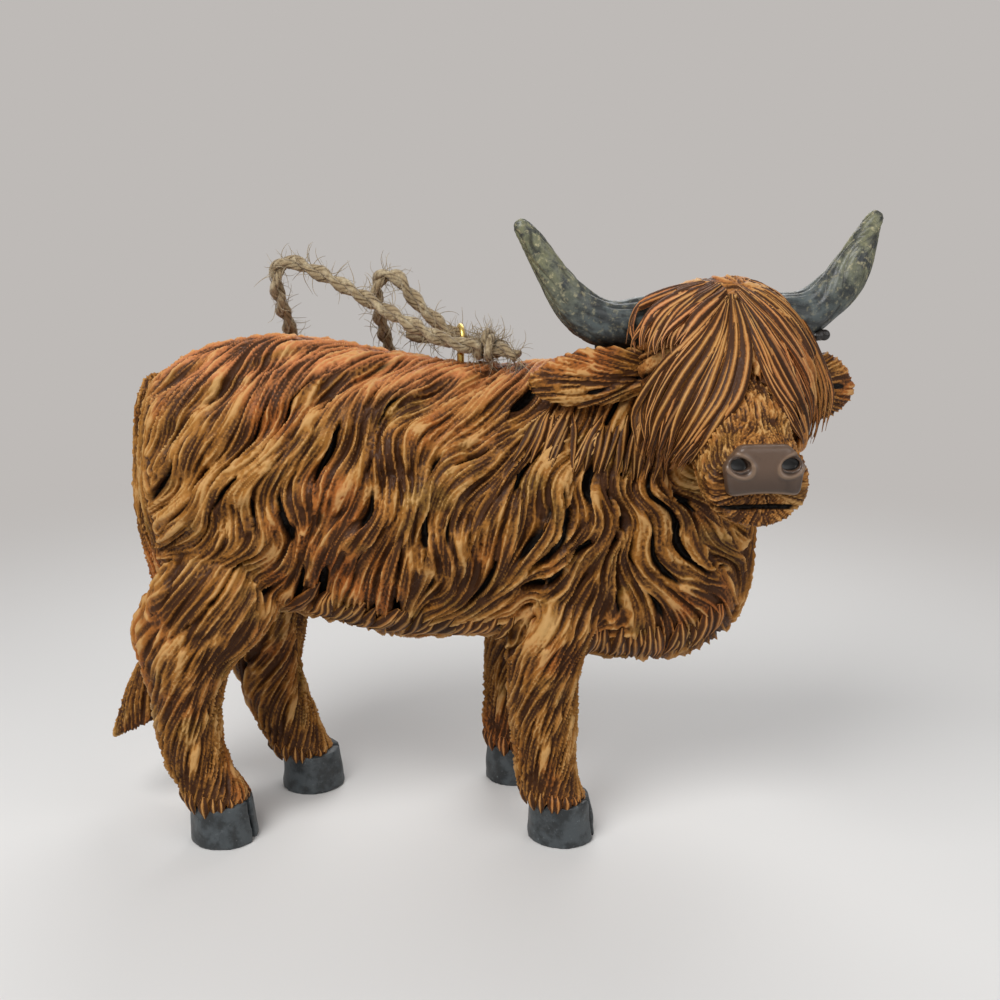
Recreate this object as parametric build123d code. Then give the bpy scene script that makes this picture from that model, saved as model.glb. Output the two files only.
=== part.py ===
from build123d import *
import math
import os

# Highland cow figurine, hand-painted cast resin, standing on its four hooves,
# with a brass screw eye and a loop of jute twine in its back to hang it by.
# Millimetres. x runs to the cow's front, y to its left side, z up from the soles.
# The whole figure is set on the middle of its own footprint at the end.

# Trunk: barrel, shoulders, chest and the stump of the neck in one casting
trunk_length = 95.0
trunk_rear_x = -51.6
back_height = 79.2
belly_height = 31.6
barrel_half_width = 17.0

# Each row: place along the trunk, top and bottom between belly and back, half width, lean to the left
trunk_shares = (
    (0.000, 0.70, 0.35, 0.25, 0.00),
    (0.020, 0.86, 0.21, 0.60, 0.00),
    (0.085, 0.95, 0.12, 0.90, 0.00),
    (0.237, 1.00, 0.08, 1.00, 0.00),
    (0.400, 0.95, 0.00, 1.00, 0.00),
    (0.600, 0.91, -0.01, 0.98, 0.00),
    (0.740, 0.94, -0.08, 0.93, 0.00),
    (0.880, 0.93, -0.08, 0.72, -0.08),
    (0.965, 0.78, 0.02, 0.46, -0.13),
    (1.000, 0.62, 0.18, 0.22, -0.14),
)

# Coat: the main locks of hair stand between leaf-shaped gouges, in staggered columns round the girth
gouge_length = 26.0
gouge_radius = 2.4
gouge_depth = 1.4
gouge_column_count = 12
gouge_column_shares = (0.075, 0.945)
gouge_row_count = 4
gouge_top_angle = 68.0
gouge_row_pitch = 32.0
gouge_clear_height = 41.0
gouge_middle_height = 56.4
gouge_tail_gap = 6.0
gouge_eye_gap = 7.0
gouge_head_gap = 24.0
# Each row: place along the trunk, how far the hair leans to the rear in degrees
coat_lean_shares = ((0.05, 60), (0.25, 46), (0.45, 32), (0.60, 26), (0.72, 6), (0.82, -20), (0.95, -32))
back_lean = 12.0

# Legs: each row is the height between hoof and leg root, then in leg girths the lean forward
# and inward, half length and half width
leg_girth = 10.0
leg_root_height = 46.0
hind_joint_height = 33.0
fore_joint_height = 27.0
leg_peg_radius = 2.2
leg_peg_length = 5.0
peg_clearance = 0.05

hind_right_shares = (
    (1.000, 0.35, 0.34, 0.80, 0.38),
    (0.882, 0.12, 0.16, 1.04, 0.54),
    (0.776, -0.08, 0.06, 1.08, 0.64),
    (0.671, -0.25, 0.00, 0.92, 0.64),
    (0.553, -0.39, 0.00, 0.67, 0.58),
    (0.388, -0.45, 0.00, 0.50, 0.50),
    (0.235, -0.42, 0.00, 0.46, 0.46),
    (0.106, -0.25, 0.00, 0.47, 0.46),
    (0.000, -0.06, 0.00, 0.50, 0.48),
)
hind_left_shares = (
    (1.000, -0.74, 0.16, 0.80, 0.38),
    (0.882, -0.80, 0.02, 1.02, 0.54),
    (0.776, -0.82, -0.10, 1.06, 0.64),
    (0.671, -0.79, -0.12, 0.88, 0.64),
    (0.553, -0.76, -0.12, 0.70, 0.58),
    (0.388, -0.72, -0.10, 0.58, 0.51),
    (0.235, -0.56, -0.06, 0.52, 0.47),
    (0.106, -0.34, 0.00, 0.51, 0.46),
    (0.000, -0.10, 0.00, 0.51, 0.48),
)
fore_right_shares = (
    (1.000, -0.10, 0.30, 0.72, 0.36),
    (0.847, -0.12, 0.10, 0.84, 0.56),
    (0.671, -0.22, 0.00, 0.66, 0.62),
    (0.518, -0.28, 0.00, 0.56, 0.55),
    (0.365, -0.28, 0.00, 0.52, 0.50),
    (0.235, -0.25, 0.00, 0.48, 0.46),
    (0.118, -0.22, 0.00, 0.47, 0.45),
    (0.000, -0.06, 0.00, 0.49, 0.47),
)
fore_left_shares = (
    (1.000, 0.30, 0.42, 0.72, 0.36),
    (0.847, 0.24, 0.20, 0.84, 0.56),
    (0.671, 0.14, 0.08, 0.66, 0.62),
    (0.518, 0.06, 0.02, 0.56, 0.55),
    (0.365, 0.01, 0.00, 0.52, 0.50),
    (0.235, -0.04, 0.00, 0.48, 0.46),
    (0.118, -0.06, 0.00, 0.48, 0.45),
    (0.000, -0.01, 0.00, 0.49, 0.47),
)

# Hooves: where each stands, as shares of the trunk's length and the barrel's half width
hoof_height = 6.9
hoof_top_half_length = 4.9
hoof_top_half_width = 4.7
hoof_sole_half_length = 5.5
hoof_sole_half_width = 5.0
hoof_forward = 0.3
hoof_turn_out = 15.0
cleft_width = 1.1
cleft_depth = 5.0
hind_right_place_share = (0.112, -0.60)
hind_left_place_share = (0.232, 0.47)
fore_right_place_share = (0.683, -0.57)
fore_left_place_share = (0.610, 0.65)

# Head: turned to the right until it almost faces away from the flank
head_turn = -85.0
skull_place_share = (0.914, -0.035)
skull_height = 78.5
head_length = 30.5
head_drop = 16.3
head_half_width = 10.5
head_half_height = 9.6
# Each row: reach, drop, pitch in degrees, half width, half height
head_shares = (
    (-0.13, -0.05, -38, 0.40, 0.40),
    (-0.07, -0.03, -38, 0.76, 0.78),
    (0.04, 0.01, -38, 0.95, 0.97),
    (0.20, 0.07, -36, 1.00, 1.00),
    (0.43, 0.37, -32, 0.88, 0.90),
    (0.64, 0.67, -25, 0.70, 0.76),
    (0.79, 0.89, -12, 0.66, 0.71),
    (0.92, 0.98, 0, 0.68, 0.64),
    (1.00, 1.00, 4, 0.60, 0.58),
)
muzzle_pitch = 4.0

# Neck: from inside the shoulders up to a saddle in the back of the head
# Each row: forward and left of the skull in head lengths, drop in head drops,
# half height and half width in head half widths
nape_pitch = -38.0
neck_shares = (
    (-0.72, 0.04, 1.35, 1.55, 1.30),
    (-0.36, 0.08, 0.60, 1.25, 1.15),
    (-0.08, 0.10, 0.05, 1.00, 1.00),
    (0.13, 0.08, -0.36, 0.42, 0.42),
)
neck_peg_radius = 3.0
neck_peg_length = 17.0
mouth_width = 11.0
mouth_gap = 0.7
mouth_depth = 3.4
mouth_drop = 3.6

# Nose pad
pad_width = 10.8
pad_height = 8.0
pad_thickness = 2.2
pad_rise = 1.0
pad_edge_radius = 0.9
pad_outline_shares = ((-0.30, 0.5), (0.30, 0.5), (0.5, 0.12), (0.44, -0.5), (-0.44, -0.5), (-0.5, 0.12))
pad_corner_radius = 1.3
nostril_across = 3.3
nostril_rise = 1.0
nostril_half_length = 1.35
nostril_half_height = 1.05
nostril_depth = 1.3

# Forelock: a cap of hair over the poll, parted over the nose bridge
# Each row: height and reach from the skull, half width and half depth in head half widths
forelock_half_width = 12.8
forelock_crown = 10.2
forelock_hang = 15.0
forelock_shares = (
    (-1.00, 1.16, 0.76, 0.62),
    (-0.77, 1.13, 0.94, 0.78),
    (-0.43, 1.02, 1.00, 0.82),
    (0.00, 0.82, 1.00, 0.82),
    (0.43, 0.66, 0.88, 0.73),
    (0.78, 0.55, 0.63, 0.55),
    (1.00, 0.47, 0.25, 0.25),
)
parting_height = 1.5
parting_half_width = 6.4
parting_drop_share = 1.2
jaw_space_half_width = 8.2

# Horns: spread outwards and rise from the root, radius in base radii
horn_root_reach = 6.0
horn_root_across = 7.6
horn_root_rise = 3.1
horn_base_radius = 3.5
right_horn_spread = 22.3
right_horn_rise = 14.8
left_horn_spread = 15.4
left_horn_rise = 16.1
horn_sweep = 2.4
right_horn_shares = (
    (0.00, 0.00, 1.00),
    (0.32, 0.00, 1.00),
    (0.52, 0.08, 0.95),
    (0.70, 0.35, 0.77),
    (0.82, 0.62, 0.60),
    (0.92, 0.84, 0.47),
    (1.00, 1.00, 0.27),
)
left_horn_shares = (
    (0.00, 0.00, 1.00),
    (0.40, 0.10, 1.02),
    (0.64, 0.31, 0.90),
    (0.80, 0.55, 0.77),
    (0.88, 0.76, 0.56),
    (0.94, 0.90, 0.42),
    (1.00, 1.00, 0.27),
)
horn_pin_radius = 0.6
horn_pin_length = 7.0

# Ears: place along the ear, half height, half thickness
ear_length = 19.0
left_ear_length = 12.5
left_ear_drop = 2.0
ear_root_reach = 9.4
ear_root_across = 9.2
ear_root_rise = -3.2
ear_droop = 2.0
right_ear_sweep = 1.0
left_ear_sweep = -3.8
ear_half_height = 4.2
left_ear_half_height = 5.2
ear_half_thickness = 1.6
ear_peg_radius = 0.9
ear_peg_length = 3.0
ear_shares = (
    (0.00, 0.60, 1.00),
    (0.28, 0.92, 1.15),
    (0.58, 1.00, 1.00),
    (0.84, 0.70, 0.80),
    (1.00, 0.28, 0.40),
)

# Tail: set back from the trunk's rear, height, half depth and half width
tail_length = 61.0
tail_top_height = 73.5
tail_switch_reach = 6.2
tail_half_depth = 4.1
tail_half_width = 4.2
tail_shares = (
    (0.00, -0.30, 0.20, 0.34),
    (0.12, 0.10, 0.34, 0.56),
    (0.30, 0.22, 0.38, 0.62),
    (0.48, 0.00, 0.40, 0.66),
    (0.62, -0.16, 0.46, 0.70),
    (0.74, 0.08, 0.62, 0.80),
    (0.86, 0.52, 0.86, 0.96),
    (1.00, 0.94, 1.00, 1.00),
)
tail_cut_slope = 24.0

# Screw eye
eye_station_share = 0.518
eye_seat_share = 0.93
ring_outer_radius = 2.45
ring_wire_radius = 0.4
eye_neck_height = 0.5
shank_radius = 0.55
shank_length = 6.0
ring_turn = 12.0

# Twine
twine_diameter = 2.3
knot_radius = 2.45
knot_lead_share = 0.75
knot_end_length = 5.2
knot_end_way = Vector(1, -0.4, -0.2)
corner_share = 0.45
# From the knot, up and back to the first fold, down behind the back, across the far flank,
# up to the second fold and through the ring to the knot
loop_route = (
    (0.3, -2.9, 77.9),
    (-2.4, -3.9, 78.2),
    (-6.9, -3.5, 79.8),
    (-14.6, -0.9, 83.8),
    (-22.6, 1.2, 88.2),
    (-27.2, 1.9, 90.2),
    (-28.9, 2.3, 90.7),
    (-30.2, 2.6, 90.3),
    (-31.2, 3.0, 89.1),
    (-31.4, 3.7, 87.1),
    (-31.2, 5.8, 84.0),
    (-30.7, 10.9, 79.4),
    (-29.6, 17.2, 71.6),
    (-27.4, 20.6, 62.0),
    (-23.4, 21.6, 54.8),
    (-18.4, 21.4, 55.6),
    (-14.8, 20.8, 62.6),
    (-14.4, 17.4, 71.8),
    (-15.3, 10.8, 78.8),
    (-15.75, 7.0, 82.3),
    (-15.95, 5.5, 84.2),
    (-15.95, 4.8, 85.9),
    (-15.6, 4.35, 87.4),
    (-14.6, 3.8, 88.4),
    (-13.25, 3.15, 88.7),
    (-12.0, 2.5, 88.1),
    (-10.7, 2.2, 86.1),
    (-7.4, 1.4, 82.4),
    (-2.4, 0.0, 78.8),
    (0.3, -0.3, 77.9),
)
loose_end_route = (
    (-11.2, 5.6, 79.2),
    (-7.8, 5.4, 78.8),
    (-4.2, 4.9, 78.2),
    (-0.7, 3.1, 78.0),
    (1.6, 0.2, 78.0),
)
overrun = 30.0


def oval(plane, half_x, half_y):
    # half_x is the longer half, so that every oval of a loft starts at the same side
    return plane * Ellipse(half_x, half_y)


def loft_ovals(stations):
    return loft([oval(plane, half_x, half_y) for plane, half_x, half_y in stations])


def peg(start, direction, radius, length):
    rod = Cylinder(radius, length, align=(Align.CENTER, Align.CENTER, Align.MIN))
    return Plane(origin=start, z_dir=direction) * rod


def solid_of(shape):
    # The largest piece that a cut leaves
    return max(shape.solids(), key=lambda piece: piece.volume)


def trunk_x(share):
    return trunk_rear_x + share * trunk_length


def trunk_z(share):
    return belly_height + share * (back_height - belly_height)


def make_barrel():
    stations = []
    for along, top, bottom, width, lean in trunk_shares:
        high = trunk_z(top)
        low = trunk_z(bottom)
        centre = (trunk_x(along), lean * barrel_half_width, (high + low) / 2)
        plane = Plane(origin=centre, x_dir=(0, 0, 1), z_dir=(1, 0, 0))
        stations.append((plane, (high - low) / 2, width * barrel_half_width))
    return loft_ovals(stations)


def coat_lean(along, angle):
    # How far the hair leans to the rear from straight down, more so on the back
    for near, far in zip(coat_lean_shares, coat_lean_shares[1:]):
        if along <= far[0]:
            part_way = (along - near[0]) / (far[0] - near[0])
            return near[1] + part_way * (far[1] - near[1]) + back_lean * math.sin(math.radians(angle))
    return coat_lean_shares[-1][1]


def make_gouge():
    # A ball drawn out long, its poles at the two ends
    ball = Rot(0, 90, 0) * Sphere(gouge_radius)
    return scale(ball, (gouge_length / 2 / gouge_radius, 1, 1))


def place_gouge(gouge, body, along, angle, side):
    # Laid in the body's surface along the hair, or nothing where another piece sits
    middle = Vector(trunk_x(along), 0, gouge_middle_height)
    way = Vector(0, side * math.cos(math.radians(angle)), math.sin(math.radians(angle)))
    hits = body.find_intersection_points(Axis(middle, way))
    place, normal = max(hits, key=lambda hit: (hit[0] - middle).dot(way))
    under_tail = place.X < trunk_rear_x + gouge_tail_gap and abs(place.Y) < gouge_tail_gap
    beside_eye = (place - eye_seat()).length < gouge_eye_gap
    under_head = (place - skull_centre).length < gouge_head_gap
    if place.Z < gouge_clear_height or under_tail or beside_eye or under_head:
        return []
    downward = Vector(1, 0, 0).cross(normal).normalized() * -side
    rearward = downward.cross(normal).normalized() * -side
    lean = math.radians(coat_lean(along, angle))
    heading = downward * math.cos(lean) + rearward * math.sin(lean)
    seat = Plane(origin=place + normal * (gouge_radius - gouge_depth), x_dir=heading, z_dir=normal)
    return [seat * gouge]


def make_gouges(body):
    gouge = make_gouge()
    first, last = gouge_column_shares
    gouges = []
    for column in range(gouge_column_count):
        along = first + (last - first) * column / (gouge_column_count - 1)
        stagger = (column % 2) * gouge_row_pitch / 2
        for row in range(gouge_row_count):
            angle = gouge_top_angle - stagger - row * gouge_row_pitch
            for side in (-1, 1):
                gouges += place_gouge(gouge, body, along, angle, side)
    return gouges


def hoof_centre(place_share):
    return Vector(trunk_x(place_share[0]), place_share[1] * barrel_half_width, 0)


def leg_z(share):
    return hoof_height + share * (leg_root_height - hoof_height)


def make_leg_form(shares, place_share):
    foot = hoof_centre(place_share)
    inward = -math.copysign(leg_girth, foot.Y)
    stations = []
    for height, lean, inset, half_length, half_width in shares:
        centre = (foot.X + lean * leg_girth, foot.Y + inset * inward, leg_z(height))
        plane = Plane(origin=centre, x_dir=(1, 0, 0), z_dir=(0, 0, -1))
        stations.append((plane, half_length * leg_girth, half_width * leg_girth))
    return loft_ovals(stations)


def leg_axis(shares, place_share, height):
    # Centre of the leg at a height, between the two nearest rows
    foot = hoof_centre(place_share)
    for upper, lower in zip(shares, shares[1:]):
        top = leg_z(upper[0])
        base = leg_z(lower[0])
        if base <= height <= top:
            part_way = (height - base) / (top - base)
            lean = lower[1] + part_way * (upper[1] - lower[1])
            inset = lower[2] + part_way * (upper[2] - lower[2])
            inward = -math.copysign(leg_girth, foot.Y)
            return Vector(foot.X + lean * leg_girth, foot.Y + inset * inward, height)
    return Vector(foot.X, foot.Y, height)


def slab(low, high):
    # Everything between two heights
    size = trunk_length + 2 * overrun
    block = Box(size, size, high - low, align=(Align.CENTER, Align.CENTER, Align.MIN))
    return Pos(0, 0, low) * block


def make_hoof(place_share, outward):
    foot = hoof_centre(place_share)
    turn = hoof_turn_out * outward
    forward = Vector(1, 0, 0).rotate(Axis.Z, turn)
    top = Plane(origin=foot + Vector(0, 0, hoof_height), x_dir=forward, z_dir=(0, 0, -1))
    sole = Plane(origin=foot + forward * hoof_forward, x_dir=forward, z_dir=(0, 0, -1))
    body = loft([
        oval(top, hoof_top_half_length, hoof_top_half_width),
        oval(sole, hoof_sole_half_length, hoof_sole_half_width),
    ])
    tip = hoof_sole_half_length + hoof_forward
    wedge = Polyline(
        (tip - cleft_depth, 0),
        (tip + cleft_depth, cleft_width),
        (tip + cleft_depth, -cleft_width),
        close=True,
    )
    ground = Plane(origin=foot - Vector(0, 0, overrun), x_dir=forward, z_dir=(0, 0, 1))
    cleft = extrude(ground * make_face(wedge), 2 * overrun)
    return solid_of(body - cleft)


head_forward = Vector(1, 0, 0).rotate(Axis.Z, head_turn)
head_left = head_forward.rotate(Axis.Z, 90)
skull_centre = Vector(trunk_x(skull_place_share[0]), skull_place_share[1] * barrel_half_width, skull_height)


def head_point(reach, across, rise):
    return skull_centre + head_forward * reach + head_left * across + Vector(0, 0, rise)


def head_direction(pitch):
    angle = math.radians(pitch)
    return head_forward * math.cos(angle) + Vector(0, 0, math.sin(angle))


def nape_plane():
    return Plane(origin=skull_centre, x_dir=head_left, z_dir=head_direction(nape_pitch))


def make_head_form():
    stations = []
    for reach, drop, pitch, width, height in head_shares:
        centre = head_point(reach * head_length, 0, -drop * head_drop)
        plane = Plane(origin=centre, x_dir=head_left, z_dir=head_direction(pitch))
        stations.append((plane, width * head_half_width, height * head_half_height))
    return loft_ovals(stations)


def neck_point(ahead, leftward, drop):
    return skull_centre + Vector(ahead * head_length, leftward * head_length, -drop * head_drop)


def neck_heading():
    return (neck_point(*neck_shares[-1][:3]) - neck_point(*neck_shares[0][:3])).normalized()


def make_neck():
    stations = []
    for ahead, leftward, drop, height, width in neck_shares:
        plane = Plane(origin=neck_point(ahead, leftward, drop), x_dir=(0, 1, 0), z_dir=neck_heading())
        plane = plane.rotated((0, 0, 90))
        stations.append((plane, height * head_half_width, width * head_half_width))
    return loft_ovals(stations)


def muzzle_plane(rise=0.0):
    face_up = head_direction(muzzle_pitch + 90)
    centre = head_point(head_length, 0, -head_drop)
    return Plane(origin=centre + face_up * rise, x_dir=head_left, z_dir=head_direction(muzzle_pitch))


def make_mouth():
    lips = muzzle_plane(-mouth_drop)
    slit = Box(mouth_width, mouth_gap, 2 * mouth_depth)
    return lips * slit


def make_nose_pad():
    face = muzzle_plane(pad_rise)
    outline = Polyline(*[(x * pad_width, y * pad_height) for x, y in pad_outline_shares], close=True)
    plate = make_face(outline)
    plate = fillet(plate.vertices(), pad_corner_radius)
    pad = extrude(face * plate, pad_thickness)
    front = pad.faces().sort_by(Axis(face.origin, face.z_dir))[-1]
    pad = fillet(front.edges(), pad_edge_radius)
    for across in (-nostril_across, nostril_across):
        centre = face.from_local_coords((across, nostril_rise, pad_thickness))
        pit_plane = Plane(origin=centre, x_dir=head_left, z_dir=head_direction(muzzle_pitch))
        pit = oval(pit_plane, nostril_half_length, nostril_half_height)
        pad -= extrude(pit, nostril_depth, both=True)
    return solid_of(pad)


def make_forelock_form():
    stations = []
    for height, reach, width, depth in forelock_shares:
        rise = height * (forelock_crown if height > 0 else forelock_hang)
        centre = head_point(reach * forelock_half_width, 0, rise)
        plane = Plane(origin=centre, x_dir=head_left, z_dir=(0, 0, 1))
        stations.append((plane, width * forelock_half_width, depth * forelock_half_width))
    cap = loft_ovals(stations)
    front = Plane(origin=head_point(head_half_width, 0, 0), x_dir=head_left, z_dir=head_forward)
    slot = Polyline(
        (0, parting_height),
        (parting_half_width, -parting_drop_share * forelock_hang),
        (-parting_half_width, -parting_drop_share * forelock_hang),
        close=True,
    )
    cap -= extrude(front * make_face(slot), head_length)
    jaw_space = Box(2 * jaw_space_half_width, head_half_height, 2 * head_length)
    under = Plane(origin=head_point(head_half_width, 0, -forelock_hang), x_dir=head_left, z_dir=head_forward)
    return cap - under * jaw_space


def make_horn(shares, spread, rise, toward_left):
    points = []
    for outward, upward, radius in shares:
        across = toward_left * (horn_root_across + outward * spread)
        sweep = horn_sweep * outward
        place = head_point(horn_root_reach + sweep, across, horn_root_rise + upward * rise)
        points.append((place, radius * horn_base_radius))
    stations = []
    for index, (place, radius) in enumerate(points):
        before = points[max(index - 1, 0)][0]
        after = points[min(index + 1, len(points) - 1)][0]
        heading = (after - before).normalized()
        plane = Plane(origin=place, x_dir=head_forward, z_dir=heading)
        stations.append((plane, radius, radius))
    start, heading = points[0][0], (points[1][0] - points[0][0]).normalized()
    return loft_ovals(stations), start, heading


def make_ear(length, sweep, half_height, drop, toward_left):
    root = head_point(ear_root_reach, toward_left * ear_root_across, ear_root_rise - drop)
    tip_across = toward_left * (ear_root_across + length)
    tip = head_point(ear_root_reach + sweep, tip_across, ear_root_rise - drop - ear_droop)
    heading = (tip - root).normalized()
    stations = []
    for along, height, thickness in ear_shares:
        plane = Plane(origin=root + (tip - root) * along, x_dir=(0, 0, 1), z_dir=heading)
        stations.append((plane, height * half_height, thickness * ear_half_thickness))
    return loft_ovals(stations), root, heading


def make_tail_form():
    stations = []
    for down, back, depth, width in tail_shares:
        centre = (trunk_rear_x - back * tail_switch_reach, 0, tail_top_height - down * tail_length)
        plane = Plane(origin=centre, x_dir=(0, 1, 0), z_dir=(0, 0, -1))
        stations.append((plane, width * tail_half_width, depth * tail_half_depth))
    form = loft_ovals(stations)
    end = Vector(trunk_rear_x - tail_switch_reach, 0, tail_top_height - tail_length + tail_half_depth / 2)
    knife = Box(overrun, overrun, overrun, align=(Align.CENTER, Align.CENTER, Align.MAX))
    return solid_of(form - Pos(*end) * Rot(0, -tail_cut_slope, 0) * knife)


def make_screw_eye():
    seat = eye_seat()
    centre = seat + Vector(0, 0, eye_neck_height + ring_outer_radius)
    ring_plane = Plane(origin=centre, z_dir=Vector(1, 0, 0).rotate(Axis.Z, ring_turn))
    ring = ring_plane * Torus(ring_outer_radius - ring_wire_radius, ring_wire_radius)
    neck_top = eye_neck_height + ring_wire_radius
    shank = peg(seat - Vector(0, 0, shank_length), Vector(0, 0, 1), shank_radius, shank_length + neck_top)
    return ring + shank


def eye_seat():
    return Vector(trunk_x(eye_station_share), 0, trunk_z(eye_seat_share))


def make_tube(route):
    # A length of twine along a list of points, every corner rounded as wide as its runs allow
    points = [Vector(*place) for place in route]
    radii = []
    for before, corner, after in zip(points, points[1:], points[2:]):
        arriving = corner - before
        leaving = after - corner
        half_turn = math.radians(arriving.get_angle(leaving)) / 2
        radii.append(corner_share * min(arriving.length, leaving.length) / math.tan(half_turn))
    print("twine radii", [round(radius, 1) for radius in radii])
    path = FilletPolyline(*points, radius=radii)
    start = Plane(origin=path @ 0, z_dir=path % 0)
    tube = sweep(start * Circle(twine_diameter / 2), path=path)
    section = math.pi * twine_diameter ** 2 / 4
    print("twine length", round(path.length, 1), "volume ratio", round(tube.volume / section / path.length, 4))
    return tube


def make_knot(loop):
    # A round turn drawn tight over both strands, with one short end ahead and one along the back
    middle = (Vector(*loop_route[0]) + Vector(*loop_route[-1])) * 0.5
    centre = middle + Vector(knot_radius * knot_lead_share, 0, 0)
    knot = Pos(*centre) * Sphere(knot_radius)
    knot += peg(centre, knot_end_way, twine_diameter / 2, knot_end_length)
    knot += make_tube(loose_end_route)
    return solid_of(knot - loop)


def build_figure():
    parts = {}
    legs = {
        "hind_right": (hind_right_shares, hind_right_place_share, -1, hind_joint_height),
        "hind_left": (hind_left_shares, hind_left_place_share, 1, hind_joint_height),
        "fore_right": (fore_right_shares, fore_right_place_share, -1, fore_joint_height),
        "fore_left": (fore_left_shares, fore_left_place_share, 1, fore_joint_height),
    }
    barrel = make_barrel()
    head_form = make_head_form()
    neck = make_neck() - head_form
    trunk = barrel + neck
    sockets = []
    for name, (shares, place, outward, joint) in legs.items():
        form = make_leg_form(shares, place)
        trunk += form & slab(joint, leg_root_height)
        axis = leg_axis(shares, place, joint)
        leg = form & slab(hoof_height, joint)
        leg += peg(axis, Vector(0, 0, 1), leg_peg_radius, leg_peg_length)
        parts[name + "_leg"] = solid_of(leg)
        socket_depth = leg_peg_length + peg_clearance
        sockets.append(peg(axis, Vector(0, 0, 1), leg_peg_radius + peg_clearance, socket_depth))
        parts[name + "_hoof"] = make_hoof(place, outward)
    trunk -= make_gouges(trunk)
    for socket in sockets:
        trunk -= socket

    head = solid_of(head_form - barrel)
    neck_way = neck_heading() * -1
    head += peg(skull_centre, neck_way, neck_peg_radius, neck_peg_length)
    trunk -= peg(skull_centre, neck_way, neck_peg_radius + peg_clearance, neck_peg_length + peg_clearance)

    behind = Box(2 * overrun, 2 * overrun, overrun, align=(Align.CENTER, Align.CENTER, Align.MAX))
    forelock = make_forelock_form() - nape_plane() * behind - head_form - barrel - neck

    pins = []
    horns = (
        ("right_horn", right_horn_shares, right_horn_spread, right_horn_rise, -1),
        ("left_horn", left_horn_shares, left_horn_spread, left_horn_rise, 1),
    )
    for name, shares, spread, rise, side in horns:
        horn, root, heading = make_horn(shares, spread, rise, side)
        pin = peg(root - heading * (horn_pin_length / 2), heading, horn_pin_radius, horn_pin_length)
        head -= horn
        forelock -= horn
        trunk -= horn
        head -= pin
        trunk -= pin
        parts[name] = solid_of(horn - pin)
        pins.append(pin)
    parts["horn_pins"] = Compound([solid_of(pin) for pin in pins])

    ears = (
        ("right_ear", ear_length, right_ear_sweep, ear_half_height, 0, -1),
        ("left_ear", left_ear_length, left_ear_sweep, left_ear_half_height, left_ear_drop, 1),
    )
    for name, length, sweep_out, half_height, drop, side in ears:
        ear, root, heading = make_ear(length, sweep_out, half_height, drop, side)
        ear = ear - head_form - barrel
        tenon = peg(root - heading * ear_peg_length, heading, ear_peg_radius, ear_peg_length + ear_half_thickness)
        head -= peg(root - heading * ear_peg_length, heading, ear_peg_radius, ear_peg_length + head_half_width)
        forelock -= ear
        forelock -= tenon
        parts[name] = solid_of(solid_of(ear) + tenon)
    head -= make_mouth()
    parts["head"] = solid_of(head)
    parts["forelock"] = solid_of(forelock)
    parts["nose_pad"] = make_nose_pad()

    parts["tail"] = solid_of(make_tail_form() - barrel)

    eye = make_screw_eye()
    trunk -= peg(eye_seat() - Vector(0, 0, shank_length), Vector(0, 0, 1), shank_radius, shank_length + overrun)
    parts["screw_eye"] = solid_of(eye)
    parts["trunk"] = solid_of(trunk)

    parts["twine_loop"] = solid_of(make_tube(loop_route))
    parts["twine_knot"] = make_knot(parts["twine_loop"])
    return parts


cord_nodes = ("twine_loop", "twine_knot")
figure = build_figure()
box = Compound([shape for name, shape in figure.items() if name not in cord_nodes]).bounding_box()
shift = Pos(-box.center().X, -box.center().Y, 0)
os.makedirs("parts", exist_ok=True)
for name, shape in figure.items():
    export_step(shift * shape, f"parts/{name}.step")
print("footprint centre", round(box.center().X, 2), round(box.center().Y, 2), "size", box.size)
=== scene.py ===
import bmesh
import bpy
import math
import numpy as np
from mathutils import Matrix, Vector
from mathutils.bvhtree import BVHTree


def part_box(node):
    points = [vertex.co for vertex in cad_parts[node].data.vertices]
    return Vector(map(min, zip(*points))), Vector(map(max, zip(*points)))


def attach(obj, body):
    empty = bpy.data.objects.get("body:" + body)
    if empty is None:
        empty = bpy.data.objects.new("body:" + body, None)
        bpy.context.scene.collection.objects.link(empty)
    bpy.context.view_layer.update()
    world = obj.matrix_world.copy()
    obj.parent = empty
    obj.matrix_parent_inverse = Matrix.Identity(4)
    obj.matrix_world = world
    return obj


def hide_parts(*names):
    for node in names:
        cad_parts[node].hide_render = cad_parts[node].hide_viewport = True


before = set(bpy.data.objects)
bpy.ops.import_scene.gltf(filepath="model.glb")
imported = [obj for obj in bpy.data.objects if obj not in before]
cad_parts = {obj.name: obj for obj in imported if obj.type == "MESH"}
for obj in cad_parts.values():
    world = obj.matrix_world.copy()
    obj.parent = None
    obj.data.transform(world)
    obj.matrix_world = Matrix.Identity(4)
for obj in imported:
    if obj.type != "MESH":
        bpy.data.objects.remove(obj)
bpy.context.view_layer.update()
scene = bpy.context.scene
mmScale = 0.001  # the shapes are worked out in millimetres


# Places on the cow: x forward, y to its left from the middle plane, z up from the soles
trunkLow, trunkHigh = (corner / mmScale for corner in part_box("trunk"))
trunkRear = 52.81  # from the rump back to the middle of the stride
cowOrigin = np.array((trunkLow.x + trunkRear, (trunkLow.y + trunkHigh.y) / 2, 0.0))


def toFrame(points):
    return (np.asarray(points, float) + cowOrigin) * mmScale


def colour(red, green, blue):
    # 0 to 255 as a screen shows it, into the renderer's own values
    shares = [((c / 255 + 0.055) / 1.055) ** 2.4 if c > 10 else c / 3295 for c in (red, green, blue)]
    return (*shares, 1.0)


def unit(vectors):
    return vectors / np.maximum(np.linalg.norm(vectors, axis=-1, keepdims=True), 1e-9)


def smoothStep(low, high, values):
    share = np.clip((values - low) / (high - low), 0, 1)
    return share * share * (3 - 2 * share)


def between(at, places, rows):
    # Rows of numbers, read at any place between theirs
    return np.array([np.interp(at, places, column) for column in np.asarray(rows).T]).T


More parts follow.
